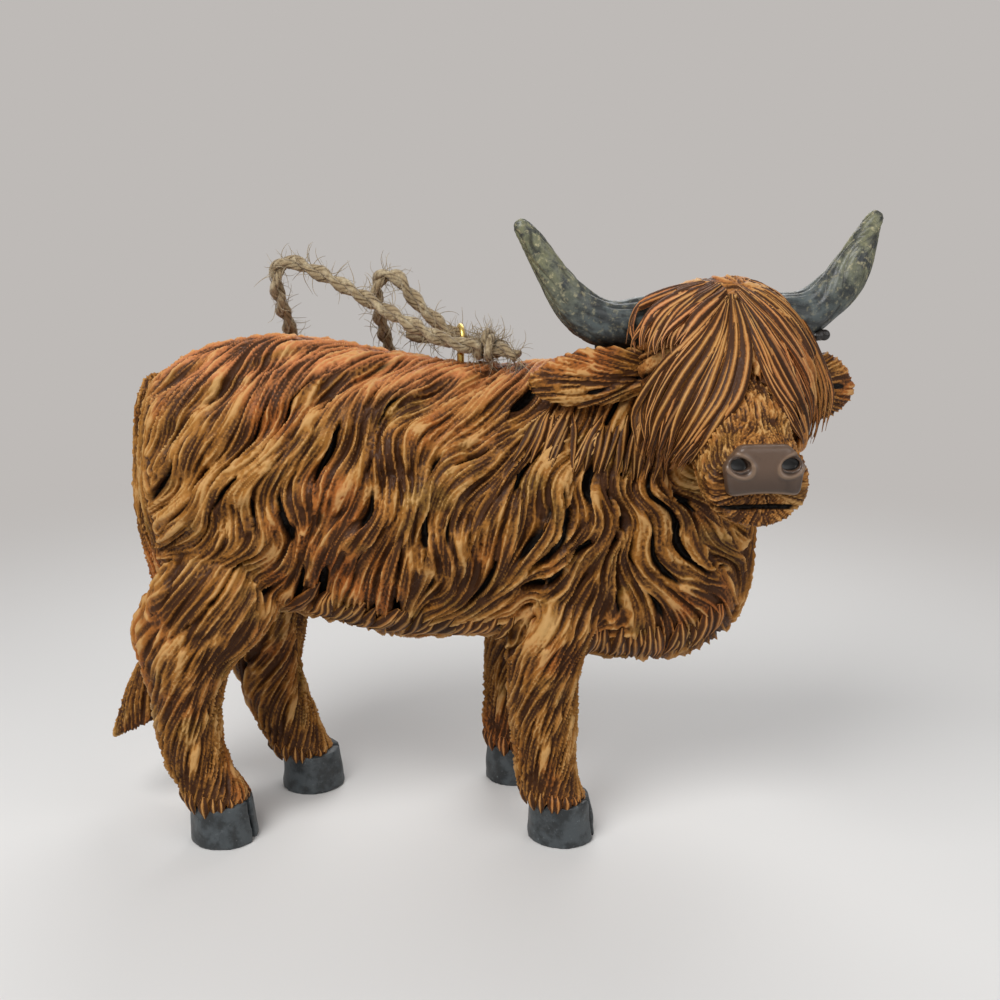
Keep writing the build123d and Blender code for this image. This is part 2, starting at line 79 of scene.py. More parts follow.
def lengthAlong(line):
    return np.concatenate(([0], np.cumsum(np.linalg.norm(np.diff(line, axis=0), axis=1))))


# Camera, at the photograph's height and angle
cameraPlace = {"x": 3.75, "aside": -172.0, "height": 92.0, "pitch": 12.7, "lens": 39.6, "sensor": 36.0}


def addCamera(place):
    data = bpy.data.cameras.new("photoCamera")
    data.lens = place["lens"]
    data.sensor_width = place["sensor"]
    data.clip_start = 0.005
    camera = bpy.data.objects.new("photoCamera", data)
    camera.location = toFrame((place["x"], place["aside"], place["height"]))
    camera.rotation_euler = (math.radians(90 - place["pitch"]), 0, 0)
    scene.collection.objects.link(camera)
    scene.camera = camera


addCamera(cameraPlace)
print("camera placed")


# Mesh helpers
def linkObject(name, data):
    piece = bpy.data.objects.new(name, data)
    scene.collection.objects.link(piece)
    return piece


def evaluatedMesh(piece):
    scene.view_layers[0].update()
    return bpy.data.meshes.new_from_object(piece.evaluated_get(bpy.context.evaluated_depsgraph_get()))


def readMesh(mesh):
    points = np.empty(len(mesh.vertices) * 3)
    mesh.vertices.foreach_get("co", points)
    normals = np.empty(len(mesh.vertices) * 3)
    mesh.vertices.foreach_get("normal", normals)
    return points.reshape(-1, 3), normals.reshape(-1, 3)


def setAttribute(mesh, name, values):
    layer = mesh.attributes.get(name) or mesh.attributes.new(name, "FLOAT", "POINT")
    layer.data.foreach_set("value", np.asarray(values, np.float32))


def finishMesh(mesh, name, points, material):
    # Takes points in millimetres on the cow and makes the finished piece
    mesh.vertices.foreach_set("co", toFrame(points).astype(np.float32).ravel())
    mesh.materials.clear()
    mesh.materials.append(material)
    mesh.polygons.foreach_set("use_smooth", np.ones(len(mesh.polygons), bool))
    mesh.update()
    return linkObject(name, mesh)


def settle(piece, slot, *nodes):
    # Every piece rides on the one body. The nodes are the solids that it stands for
    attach(piece, "root")
    for node in nodes:
        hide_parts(node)
    return piece


def ballMesh(centre, radii):
    shape = bmesh.new()
    bmesh.ops.create_icosphere(shape, subdivisions=3, radius=1.0)
    points = np.array([tuple(corner.co) for corner in shape.verts]) * radii + centre
    faces = np.array([[corner.index for corner in face.verts] for face in shape.faces])
    shape.free()
    return points, faces


def nodeCopy(*nodes, fillers=()):
    # The CAD solids' own triangles, merged, in millimetres on the cow, with balls that fill hollows
    allPoints, allFaces, start = [], [], 0
    for centre, radii in fillers:
        points, faces = ballMesh(centre, radii)
        allPoints.append(points)
        allFaces.append(faces + start)
        start += len(points)
    for node in nodes:
        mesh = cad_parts[node].data
        points, _ = readMesh(mesh)
        points = points / mmScale - cowOrigin
        mesh.calc_loop_triangles()
        corners = np.empty(len(mesh.loop_triangles) * 3, int)
        mesh.loop_triangles.foreach_get("vertices", corners)
        keys, first, inverse = np.unique(np.round(points, 4), axis=0, return_index=True, return_inverse=True)
        triangles = inverse.ravel()[corners].reshape(-1, 3)
        keep = (triangles != np.roll(triangles, 1, axis=1)).all(1)
        allPoints.append(points[first])
        allFaces.append(triangles[keep] + start)
        start += len(first)
    return meshOf(np.vstack(allPoints), np.vstack(allFaces))


def meshOf(points, *faceSets):
    # Each set of faces is an array of triangles or of quads
    faceSets = [np.asarray(faces) for faces in faceSets if len(faces)]
    mesh = bpy.data.meshes.new("work")
    mesh.vertices.add(len(points))
    mesh.vertices.foreach_set("co", np.asarray(points, np.float32).ravel())
    corners = np.concatenate([faces.ravel() for faces in faceSets]).astype(np.int32)
    sides = np.concatenate([np.full(len(faces), faces.shape[1]) for faces in faceSets])
    mesh.loops.add(len(corners))
    mesh.loops.foreach_set("vertex_index", corners)
    mesh.polygons.add(len(sides))
    mesh.polygons.foreach_set("loop_start", (np.cumsum(sides) - sides).astype(np.int32))
    mesh.update(calc_edges=True)
    mesh.validate()
    return mesh


def quadsOf(mesh):
    corners = np.empty(len(mesh.loops), int)
    mesh.loops.foreach_get("vertex_index", corners)
    return corners.reshape(-1, 4)


def largestIsland(mesh):
    # Drops the small closed bubbles that the remesh leaves in sockets
    quads = quadsOf(mesh)
    label = np.arange(len(mesh.vertices))
    while True:
        low = label[quads].min(1)
        fresh = label.copy()
        for corner in range(4):
            np.minimum.at(fresh, quads[:, corner], low)
        fresh = fresh[fresh]
        if (fresh == label).all():
            break
        label = fresh
    main = np.bincount(label).argmax()
    keep = label == main
    points, _ = readMesh(mesh)
    index = np.cumsum(keep) - 1
    return meshOf(points[keep], index[quads[keep[quads[:, 0]]]])


def modified(piece, kind, **settings):
    # The piece's mesh with one modifier applied
    modifier = piece.modifiers.new(kind.lower(), kind)
    for key, value in settings.items():
        setattr(modifier, key, value)
    mesh = evaluatedMesh(piece)
    piece.modifiers.clear()
    return mesh


cavityBlur = 36  # smoothing rounds for a voxel of 1 mm, which blur the form that a hollow is measured from


def remeshed(mesh, form):
    # One closed skin of even quads over the solids, smoothed and divided. It knows how deep its hollows are
    piece = linkObject("work", mesh)
    piece.data = largestIsland(modified(piece, "REMESH", mode="VOXEL", voxel_size=form["voxel"]))
    piece.data = modified(piece, "SMOOTH", iterations=form["smoothing"])
    points, normals = readMesh(piece.data)
    blurred, _ = readMesh(modified(piece, "SMOOTH", iterations=int(cavityBlur / form["voxel"])))
    setAttribute(piece.data, "cavity", ((blurred - points) * normals).sum(1))
    result = modified(piece, "SUBSURF", levels=1, render_levels=1)
    bpy.data.objects.remove(piece)
    return result


def readAttribute(mesh, name):
    values = np.empty(len(mesh.vertices), np.float32)
    mesh.attributes[name].data.foreach_get("value", values)
    return values


# Combed hair: a flat chart of height over a surface that is unrolled, streaked along the flow
combing = {"cell": 0.17, "seed": 11, "stride": 1.6, "ringWidth": 0.38}
grains = ("locks", "strands", "hairs", "gouges", "tint")
relief = {
    "lockSharpness": 1.7, "strandSharpness": 2.5, "hairSharpness": 2.2, "lockMiddle": 0.7, "fineMiddle": 0.4,
    "gougeEdge": 0.8, "gougeBetweenLocks": 0.9, "gougeCalm": 0.7, "ridgeShares": (0.3, 0.5, 0.36),
}


def noiseField(shape, seed, band):
    # Noise of even strength. band weighs its waves by the square of their turns per cell
    grain = np.random.default_rng(seed).standard_normal(shape)
    rows = np.fft.fftfreq(shape[0])[:, None]
    columns = np.fft.fftfreq(shape[1])[None, :]
    grain = np.fft.ifft2(np.fft.fft2(grain) * band(rows ** 2 + columns ** 2)).real
    return grain / grain.std()


def ringNoise(shape, wave, seed):
    # Waves of about one length, in cells
    width = combing["ringWidth"]
    return noiseField(shape, seed, lambda turns: np.exp(-((np.sqrt(turns) * wave - 1) / width) ** 2))


def softNoise(shape, wave, seed):
    # Waves of one length and longer
    return noiseField(shape, seed, lambda turns: np.exp(-turns * wave ** 2 * 3))


def streak(grain, heading, reach):
    # Averages the grain along the flow, both ways
    rows, columns = grain.shape
    stride = combing["stride"]
    across, along = np.cos(heading) * stride, np.sin(heading) * stride
    total = grain.copy()
    steps = max(int(reach / stride), 1)
    startY, startX = np.mgrid[0:rows, 0:columns].astype(float)
    for way in (-1, 1):
        x, y = startX.copy(), startY.copy()
        column, row = startX.astype(int), startY.astype(int)
        for step in range(steps):
            x += way * across[row, column]
            y += way * along[row, column]
            column = np.clip(np.rint(x).astype(int), 0, columns - 1)
            row = np.clip(np.rint(y).astype(int), 0, rows - 1)
            weight = 0.5 + 0.5 * math.cos(math.pi * (step + 1) / (steps + 1))
            total += grain[row, column] * weight
    return (total - total.mean()) / total.std()


def combChart(width, height, headingAt, form, number):
    # form has a pair of wave and reach in millimetres for each grain, and number sets its random draws apart
    cell, seed = combing["cell"], combing["seed"] + number
    shape = (int(height / cell), int(width / cell))
    rows, columns = np.mgrid[0:shape[0], 0:shape[1]]
    sway = form["sway"] * softNoise(shape, form["swayWave"] / cell, seed + len(grains))
    heading = headingAt((columns + 0.5) * cell, (rows + 0.5) * cell) + sway
    chart = {}
    for order, name in enumerate(grains):
        if name in form:
            wave, reach = form[name]
            chart[name] = streak(ringNoise(shape, wave / cell, seed + order), heading, reach / cell)
    return chart


def fanned(angle, middle=0.0, spread=0.0):
    # Hair that runs at one angle over the chart and opens out from its middle
    return lambda a, b: np.full(a.shape, angle) + spread * (a - middle)


def readChart(chart, name, a, b):
    field, cell = chart[name], combing["cell"]
    x = np.clip(a / cell - 0.5, 0, field.shape[1] - 1.001)
    y = np.clip(b / cell - 0.5, 0, field.shape[0] - 1.001)
    column, row = x.astype(int), y.astype(int)
    fx, fy = x - column, y - row
    top = field[row, column] * (1 - fx) + field[row, column + 1] * fx
    low = field[row + 1, column] * (1 - fx) + field[row + 1, column + 1] * fx
    return top * (1 - fy) + low * fy


def crest(values, sharpness):
    # A rounded crest, about 1 high, wherever the values pass zero
    return np.exp(-sharpness * (np.sqrt(values ** 2 + 0.12) - 0.35))


def carve(read, form, calm=1.0, gouging=1.0, cavity=0.0):
    # Height of the hair over the smooth form, and what the paint follows
    lock = np.tanh(relief["lockSharpness"] * np.abs(read("locks")))
    strand = crest(read("strands"), relief["strandSharpness"])
    hair = crest(read("hairs"), relief["hairSharpness"])
    deep = read("gouges") + relief["gougeBetweenLocks"] * (1 - lock) + cavity
    gouge = smoothStep(form["gougeLevel"], form["gougeLevel"] + relief["gougeEdge"], deep) * gouging
    middle = relief["fineMiddle"]
    height = form["lockDepth"] * (lock - relief["lockMiddle"]) * calm + form["hairDepth"] * (hair - middle)
    fine = form["strandDepth"] * (strand - middle) * (1 - relief["gougeCalm"] * gouge)
    height = height + fine - form["gougeDepth"] * gouge
    lockShare, strandShare, hairShare = relief["ridgeShares"]
    ridge = np.clip(lockShare * lock + strandShare * strand + hairShare * hair, 0, 1)
    return height, ridge, gouge, 0.5 + 0.3 * read("tint")


def markPaint(mesh, **layers):
    for name, values in layers.items():
        setAttribute(mesh, name, values)


# Paint: node groups for what several finishes share
def newGroup(name, inputs, outputs, kind="ShaderNodeTree"):
    # An input is a label and a kind of socket, and may have a value
    group = bpy.data.node_groups.new(name, kind)
    for label, socketKind, *values in inputs:
        socket = group.interface.new_socket(label, in_out="INPUT", socket_type=socketKind)
        for value in values:
            socket.default_value = value
    for label, socketKind in outputs:
        group.interface.new_socket(label, in_out="OUTPUT", socket_type=socketKind)
    return group, group.nodes.new("NodeGroupInput"), group.nodes.new("NodeGroupOutput")


def feed(tree, socket, value):
    # A socket takes another's output or a plain value
    if isinstance(value, bpy.types.NodeSocket):
        tree.links.new(value, socket)
    else:
        socket.default_value = value


def addNode(tree, kind, settings=None, **inputs):
    # An input goes by its name, or as i2 by its number
    node = tree.nodes.new(kind)
    for key, value in (settings or {}).items():
        setattr(node, key, value)
    for key, value in inputs.items():
        feed(tree, node.inputs[int(key[1:]) if key[0] == "i" and key[1:].isdigit() else key], value)
    return node


def mixColours(tree, share, first, second):
    return addNode(tree, "ShaderNodeMix", {"data_type": "RGBA"}, i0=share, i6=first, i7=second).outputs[2]


def mathNode(tree, operation, first, second=0.0):
    return addNode(tree, "ShaderNodeMath", {"operation": operation}, i0=first, i1=second).outputs[0]


def rangeNode(tree, value, low, high, toLow=0.0, toHigh=1.0):
    node = addNode(tree, "ShaderNodeMapRange", {"interpolation_type": "SMOOTHSTEP"},
                   i0=value, i1=low, i2=high, i3=toLow, i4=toHigh)
    return node.outputs[0]


def noiseNode(tree, vector, size, detail=3.0, rough=0.5):
    # size is the grain in millimetres
    node = addNode(tree, "ShaderNodeTexNoise", Vector=vector, Scale=1 / (size * mmScale), Detail=detail,
                   Roughness=rough)
    return node.outputs[0]


def paintLayers(tree, base, *layers):
    # Each layer lays its colour where a pattern lies between two values, from one strength to another
    for paint, pattern, low, high, *strengths in layers:
        base = mixColours(tree, rangeNode(tree, pattern, low, high, *strengths), base, paint)
    return base


def makeWashShadeAndBrushGroup():
    # Dark wash in the hollows, partly real wash and partly painted shade, near black over the hollow mark,
    # partly dark paint and partly painted shade, and a pale dry brush over ridges
    inputs = [(label, "NodeSocketColor") for label in ("Paint", "Wash", "Brush", "Pit")]
    inputs += [("Ridge", "NodeSocketFloat", 0.5), ("Hollow", "NodeSocketFloat", 0.0),
               ("Brushing", "NodeSocketFloat", 0.4), ("Grain", "NodeSocketVector")]
    group, entry, leave = newGroup("washShadeAndBrush", inputs, [("Colour", "NodeSocketColor")])
    given = entry.outputs

    def noisyRidge(size, detail, strength, low, high):
        # The ridge, broken up by noise
        noise = mathNode(group, "MULTIPLY", noiseNode(group, given["Grain"], size, detail, 0.6), strength)
        return rangeNode(group, mathNode(group, "ADD", given["Ridge"], noise), low, high)

    # Wash colour where the ridge mark is low: real wash and painted shade in the grooves
    washedAndShaded = mixColours(group, noisyRidge(0.4, 3.0, 0.5, 0.62, 1.08), given["Wash"], given["Paint"])
    top = mathNode(group, "MULTIPLY", noisyRidge(3.0, 4.0, 0.45, 0.98, 1.22), given["Brushing"])
    brushed = mixColours(group, top, washedAndShaded, given["Brush"])
    # Near black where the hollow mark is high: dark paint and painted shade in gouges, deep places and deeper
    # locks
    dark = paintLayers(group, brushed, (given["Pit"], given["Hollow"], 0.15, 0.75))
    group.links.new(dark, leave.inputs[0])
    return group


washShadeAndBrushGroup = makeWashShadeAndBrushGroup()


def newMaterial(name, paint):
    material = bpy.data.materials.new(name)
    material.use_nodes = True
    tree = material.node_tree
    shader = tree.nodes["Principled BSDF"]
    shader.inputs["Roughness"].default_value = paint["roughness"]
    shader.inputs["Specular IOR Level"].default_value = paint.get("specular", 0.5)
    place = tree.nodes.new("ShaderNodeTexCoord").outputs["Object"]
    return material, tree, shader, place


def attributeNode(tree, name):
    return addNode(tree, "ShaderNodeAttribute", {"attribute_name": name}).outputs["Fac"]


def finishPaint(tree, shader, base, grain, bump, wear=None, roughness=None):
    # Colour, a fine bump as strength and millimetres, and a roughness that follows the wear
    feed(tree, shader.inputs["Base Color"], base)
    if wear:
        feed(tree, shader.inputs["Roughness"], rangeNode(tree, wear, 0.3, 0.7, *roughness))
    strength, depth = bump
    bumped = addNode(tree, "ShaderNodeBump", Strength=strength, Distance=depth * mmScale, Height=grain)
    feed(tree, shader.inputs["Normal"], bumped.outputs[0])


# wash and pit darken the hollows, partly real paint and partly painted shade
coatPaint = {
    "ochre": colour(152, 100, 40), "golden": colour(166, 114, 53), "orange": colour(166, 92, 40),
    "olive": colour(118, 94, 42), "rust": colour(200, 126, 78), "cream": colour(212, 168, 108),
    "wash": colour(66, 38, 17), "pit": colour(15, 9, 5), "brushing": 0.6, "roughness": 0.52, "specular": 0.16,
}


def makeCoatMaterial(paint):
    material, tree, shader, place = newMaterial("paintedHair", paint)
    base = paintLayers(
        tree, paint["ochre"],
        (paint["golden"], attributeNode(tree, "tint"), 0.3, 0.75),
        (paint["orange"], noiseNode(tree, place, 14.0, 2.0), 0.5, 0.72, 0.0, 0.8),
        (paint["olive"], noiseNode(tree, place, 6.0), 0.52, 0.7, 0.0, 0.55),
    )
    # Rust colour, which on the top of the back is also a painted highlight
    base = mixColours(tree, attributeNode(tree, "rust"), base, paint["rust"])
    washedShadedAndBrushed = addNode(
        tree, "ShaderNodeGroup", {"node_tree": washShadeAndBrushGroup}, Paint=base, Ridge=attributeNode(tree, "ridge"),
        Hollow=attributeNode(tree, "hollow"), Grain=place, Wash=paint["wash"], Brush=paint["cream"],
        Pit=paint["pit"], Brushing=paint["brushing"])
    grain = noiseNode(tree, place, 0.35, 4.0, 0.6)
    finishPaint(tree, shader, washedShadedAndBrushed.outputs[0], grain, (0.35, 0.1), grain, (0.42, 0.62))
    return material


coatMaterial = makeCoatMaterial(coatPaint)


# The flow of the hair, seen from the cow's right side: place and angle in degrees, 0 forward, -90 down
flowGuides = (
    (-50, 72, -118), (-40, 77, -140), (-25, 78, -142), (-10, 76, -138), (5, 74, -135), (15, 74, -135),
    (-50, 60, -108), (-45, 66, -124), (-30, 69, -126), (-12, 68, -116), (4, 66, -122),
    (-48, 50, -108), (-36, 55, -112), (-22, 57, -98), (-5, 55, -104), (6, 54, -118),
    (-50, 40, -140), (-42, 42, -160), (-34, 42, -152), (-22, 44, -96), (-8, 42, -96), (3, 42, -110),
    (-48, 32, -140), (-38, 34, -162), (-18, 34, -112), (-6, 33, -118), (8, 34, -118),
    (14, 56, -112), (10, 46, -122), (18, 50, -90), (19, 38, -92), (28, 54, -62), (32, 44, -62),
    (40, 50, -52), (38, 38, -66), (26, 32, -82), (24, 64, -120), (36, 62, -60),
    (-40, 22, -118), (-40, 12, -100), (14, 24, -112), (14, 12, -100),
)


def flowAngle(x, z):
    guides = np.array(flowGuides, float)
    eastward, upward, total = 0.0, 0.0, 0.0
    for gx, gz, angle in guides:
        weight = 1 / ((x - gx) ** 2 + (z - gz) ** 2 + 9) ** 1.6
        eastward = eastward + weight * math.cos(math.radians(angle))
        upward = upward + weight * math.sin(math.radians(angle))
    return np.arctan2(upward, eastward)


# Trunk and legs: one skin over the solids, combed, then parted where the castings meet
coatForm = {
    "voxel": 0.48, "smoothing": 7, "axisHeight": 55.0, "girthRadius": 21.0, "halfHeight": 23.8,
    "rear": -60.0, "length": 118.0, "legTop": 41.0, "legBlend": 10.0, "legReach": 12.0,
    "lockDepth": 0.75, "strandDepth": 0.62, "hairDepth": 0.3, "gougeDepth": 1.3, "gougeLevel": 1.6,
    "locks": (5.6, 12.0), "strands": (2.6, 9.0), "hairs": (1.3, 5.0),
    "gouges": (3.4, 11.0), "tint": (5.0, 12.0), "sway": 0.26, "swayWave": 10.0,
    "facing": (0.55, 0.85), "facingHeight": (28, 36),  # where chest and rump take over from the sides
    "legChart": (22.0, 6.5), "legGirth": (8, 13), "legCalm": 0.35, "legGouging": 0.8,
    "spineHeight": (66, 76), "spineTilt": (0.25, 0.8), "spineCalm": 0.55, "spineRustAndHighlight": 0.85,
    "hollowLevel": 0.1, "hollowMost": 0.6, "hollowShare": 3.0,  # deep places of the solids get gouges
    "cuffHeight": (11.5, 8.0), "cuffCalm": 0.5,  # shorter just over the hooves
    "fillers": (((-41, -12.5, 39), (9, 4.5, 9)), ((-41, 12.5, 39), (9, 4.5, 9))),
}
legHair = {
    "locks": (4.6, 8.0), "strands": (2.3, 6.0), "hairs": (1.2, 4.0), "gouges": (3.4, 6.0), "sway": 0.16,
}


def makeTrunkChart(form, halfGirth):
    def headingAt(a, b):
        girth = b - halfGirth
        z = form["axisHeight"] + form["halfHeight"] * np.cos(np.abs(girth) / form["girthRadius"])
        angle = flowAngle(a + form["rear"], z)
        return np.where(girth > 0, -angle, angle)
    return combChart(form["length"], 2 * halfGirth, headingAt, form, 0)


def makeLegChart(form):
    def headingAt(a, b):
        return np.full(a.shape, math.radians(-112)) - 0.25 * smoothStep(20, 38, b)
    return combChart(44, 56, headingAt, {**form, **legHair}, 40)


legNames = ("fore_right", "fore_left", "hind_right", "hind_left")
legJoint = {"fore_right": 27.0, "fore_left": 27.0, "hind_right": 33.0, "hind_left": 33.0}


def cowBox(node):
    low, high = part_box(node)
    return np.array(low) / mmScale - cowOrigin, np.array(high) / mmScale - cowOrigin


legAxes = {}
for leg in legNames:
    hoofLow, hoofHigh = cowBox(leg + "_hoof")
    legAxes[leg] = ((hoofLow + hoofHigh) / 2)[:2]


def combTrunk(points, normals, cavity, form):
    halfGirth = math.pi * form["girthRadius"]
    trunkChart, legChart = makeTrunkChart(form, halfGirth), makeLegChart(form)
    endChart = combChart(60, 100, fanned(-math.pi / 2, 30, 0.02), form, 20)
    x, y, z = points.T
    girth = np.arctan2(y, z - form["axisHeight"]) * form["girthRadius"] + halfGirth
    facing = smoothStep(*form["facing"], np.abs(normals[:, 0])) * smoothStep(*form["facingHeight"], z)

    legA = np.zeros(len(points))
    nearest = np.full(len(points), 1e9)
    legMiddle, legScale = form["legChart"]
    for axisX, axisY in legAxes.values():
        away = np.hypot(x - axisX, y - axisY) + 100 * (np.sign(y) != np.sign(axisY))
        turn = np.arctan2(y - axisY, x - axisX + 2)
        legA = np.where(away < nearest, legMiddle + turn * legScale, legA)
        nearest = np.minimum(away, nearest)
    legShare = 1 - smoothStep(form["legTop"] - form["legBlend"], form["legTop"], z)
    underBelly = (nearest > form["legGirth"][1]) & (z < form["legTop"])
    legShare = np.where(underBelly, 0, legShare * (1 - smoothStep(*form["legGirth"], nearest)))

    def read(grain):
        side = readChart(trunkChart, grain, x - form["rear"], girth)
        end = readChart(endChart, grain, y + 30, z)
        leg = readChart(legChart, grain, legA, z)
        return (side * (1 - facing) + end * facing) * (1 - legShare) + leg * legShare

    # The upward-facing top of the back gets calmer hair and the rust colour as a painted highlight
    spine = smoothStep(*form["spineHeight"], z) * smoothStep(*form["spineTilt"], normals[:, 2])
    calm = 1 - form["spineCalm"] * spine - form["legCalm"] * legShare
    gouging = (1 - spine) * (1 - form["legGouging"] * legShare)
    # Deep places of the solids get gouges, and through the hollow mark the near black pit colour, partly as
    # painted shade
    hollow = form["hollowShare"] * np.clip(cavity - form["hollowLevel"], 0, form["hollowMost"])
    height, ridge, gouge, tint = carve(read, form, calm, gouging, hollow)
    height = height * (1 - smoothStep(*form["cuffHeight"], z) * form["cuffCalm"])
    return height, ridge, gouge, tint, spine


def splitMesh(mesh, label, cores):
    # label: the piece of every face. A piece is closed by drawing each rim to a core: that of the higher
    # label of the two which meet there
    quads = quadsOf(mesh)
    points, normals = readMesh(mesh)
    layers = {layer.name: readAttribute(mesh, layer.name) for layer in mesh.attributes
              if layer.data_type == "FLOAT" and layer.domain == "POINT"}
    starts = quads.ravel().astype(np.int64)
    ends = np.roll(quads, -1, axis=1).ravel().astype(np.int64)
    keys = starts * len(points) + ends
    order = np.argsort(keys)
    beside = label[order[np.searchsorted(keys, ends * len(points) + starts, sorter=order)] // 4]
    own = np.repeat(label, 4)
    for piece in range(label.max() + 1):
        used, corners = np.unique(quads[label == piece], return_inverse=True)
        index = np.full(len(points), -1)
        index[used] = np.arange(len(used))
        rim = (own == piece) & (beside != piece)
        core = np.maximum(own, beside)[rim]
        fans = np.stack((index[ends[rim]], index[starts[rim]], len(used) + core), 1)
        part = meshOf(np.vstack((points[used], cores)), corners.reshape(-1, 4), fans)
        for name, values in layers.items():
            setAttribute(part, name, np.append(values[used], np.zeros(len(cores))))
        yield piece, part, np.vstack((normals[used], np.tile(upward, (len(cores), 1))))


def buildTrunkCoat(form):
    solids = nodeCopy("trunk", *(leg + "_leg" for leg in legNames), fillers=form["fillers"])
    mesh = remeshed(solids, form)
    skin, normals = readMesh(mesh)
    height, ridge, gouge, tint, spine = combTrunk(skin, normals, readAttribute(mesh, "cavity"), form)
    points = skin + normals * height[:, None]
    mesh.vertices.foreach_set("co", points.astype(np.float32).ravel())
    mesh.update()
    markPaint(mesh, ridge=ridge, hollow=gouge, tint=tint, rust=spine * form["spineRustAndHighlight"])
    x, y, z = points[quadsOf(mesh)].mean(1).T
    label = (x < 0) + 2 * (y > 0)
    names = ["right_front_coat", "right_rear_coat", "left_front_coat", "left_rear_coat"]
    cores = [(0.0, 0.0, form["axisHeight"])] * len(names)
    for leg, (axisX, axisY) in legAxes.items():
        near = (np.hypot(x - axisX, y - axisY) < form["legReach"]) & (np.sign(y) == np.sign(axisY))
        label = np.where((z < legJoint[leg]) & near & (label < 4), len(names), label)
        names.append(leg + "_coat")
        cores.append((axisX, axisY, legJoint[leg]))
    for order, part, partNormals in splitMesh(mesh, label, cores):
        piece = finishMesh(part, names[order], readMesh(part)[0], coatMaterial)
        piece.data.normals_split_custom_set_from_vertices(partNormals)
        settle(piece, "coat", names[order].replace("_coat", "_leg") if order > 3 else "trunk")
    return BVHTree.FromPolygons(skin.tolist(), quadsOf(mesh).tolist())


upward = np.array((0.0, 0.0, 1.0))
coatSurface = buildTrunkCoat(coatForm)
print("trunk and legs combed")


# Other castings, combed the same way. placeOf says where a point of the skin lies in the chart
def combPiece(name, node, form, chart, placeOf, rust=0.0, offset=0.0, darken=None):
    mesh = remeshed(nodeCopy(node), form)
    points, normals = readMesh(mesh)
    a, b = placeOf(points, normals)
    height, ridge, gouge, tint = carve(lambda grain: readChart(chart, grain, a, b), form)
    if darken:
        line = darken(points)
        gouge = np.maximum(gouge, line)
        height = height - form["mouthDepth"] * line
    points = points + normals * (height + offset)[:, None]
    markPaint(mesh, ridge=ridge, hollow=gouge, tint=tint, rust=np.full(len(points), rust))
    settle(finishMesh(mesh, name, points, coatMaterial), "coat", node)


headTurn = math.radians(-85)
headForward = np.array((math.cos(headTurn), math.sin(headTurn), 0.0))
headLeft = np.array((-math.sin(headTurn), math.cos(headTurn), 0.0))
skull = np.array((35.23, -0.6, 78.5))


def headPlaces(points):
    # forward of the skull, to its left and up from it
    away = points - skull
    return away @ headForward, away @ headLeft, away[:, 2]


def headPoint(reach, across, rise):
    return skull + headForward * reach + headLeft * across + upward * rise


faceForm = {
    "voxel": 0.4, "smoothing": 5, "lockDepth": 0.34, "strandDepth": 0.24, "hairDepth": 0.1,
    "gougeDepth": 0.4, "gougeLevel": 2.6, "mouthDepth": 0.7, "mouthRise": -19.2, "mouthSag": -0.004,
    "mouthLeft": -7.6, "mouthRight": 4.6, "mouthWidth": 0.45, "mouthEnd": 0.6, "rust": 0.1,
    "locks": (2.9, 2.6), "strands": (1.7, 2.2), "hairs": (0.95, 1.6),
    "gouges": (3.0, 2.0), "tint": (5.0, 4.0), "sway": 0.35, "swayWave": 5.0,
}


def buildHead(form):
    def placeOf(points, normals):
        # round the line of the face, which slopes down to the nose
        reach, across, rise = headPlaces(points)
        over = 0.47 * reach + 0.88 * rise
        return np.arctan2(across, over) * 9 + 30, 0.88 * reach - 0.47 * rise + 18

    def mouth(points):
        reach, across, rise = headPlaces(points)
        line = form["mouthRise"] + form["mouthSag"] * across ** 2
        left, right, end = form["mouthLeft"], form["mouthRight"], form["mouthEnd"]
        inside = smoothStep(left - end, left + end, across)
        inside = inside * (1 - smoothStep(right - end, right + end, across))
        return inside * (1 - smoothStep(0.5, 1.0, np.abs(rise - line) / form["mouthWidth"])) * (reach > 20)

    chart = combChart(60, 60, fanned(math.pi / 2, 30, 0.03), form, 60)
    combPiece("face_and_muzzle", "head", form, chart, placeOf, form["rust"], darken=mouth)


forelockForm = {
    "voxel": 0.5, "smoothing": 6, "lockDepth": 0.8, "strandDepth": 0.4, "hairDepth": 0.15,
    "gougeDepth": 0.8, "gougeLevel": 1.9, "crown": (2.2, 9.0), "rust": 0.25, "sink": -0.3,
    "locks": (3.8, 12.0), "strands": (2.0, 10.0), "hairs": (1.0, 6.0),
    "gouges": (3.4, 7.0), "tint": (6.0, 12.0), "sway": 0.06, "swayWave": 9.0,
}


def buildForelockBase(form):
    def headingAt(a, b):
        return np.arctan2(b - 24 - form["crown"][1], a - 40 - form["crown"][0])

    def placeOf(points, normals):
        reach, across, rise = headPlaces(points)
        return np.arctan2(across, reach - 2) * 12 + 40, rise + 24

    chart = combChart(80, 44, headingAt, form, 80)
    combPiece("forelock_base", "forelock", form, chart, placeOf, form["rust"], form["sink"])


tailForm = {
    "voxel": 0.5, "smoothing": 5, "lockDepth": 0.6, "strandDepth": 0.4, "hairDepth": 0.15,
    "gougeDepth": 0.6, "gougeLevel": 2.2,
    "locks": (4.2, 12.0), "strands": (2.0, 9.0), "hairs": (1.0, 5.0),
    "gouges": (3.6, 6.0), "tint": (6.0, 12.0), "sway": 0.08, "swayWave": 9.0,
}


def sliceCentres(points, heights):
    # The middle of the piece at each point's height
    bins = np.linspace(heights.min(), heights.max(), 14)
    centres = []
    for low, high in zip(bins, bins[1:]):
        inside = points[(heights >= low) & (heights <= high)]
        centres.append((inside.min(0) + inside.max(0)) / 2)
    return between(heights, (bins[1:] + bins[:-1]) / 2, centres)


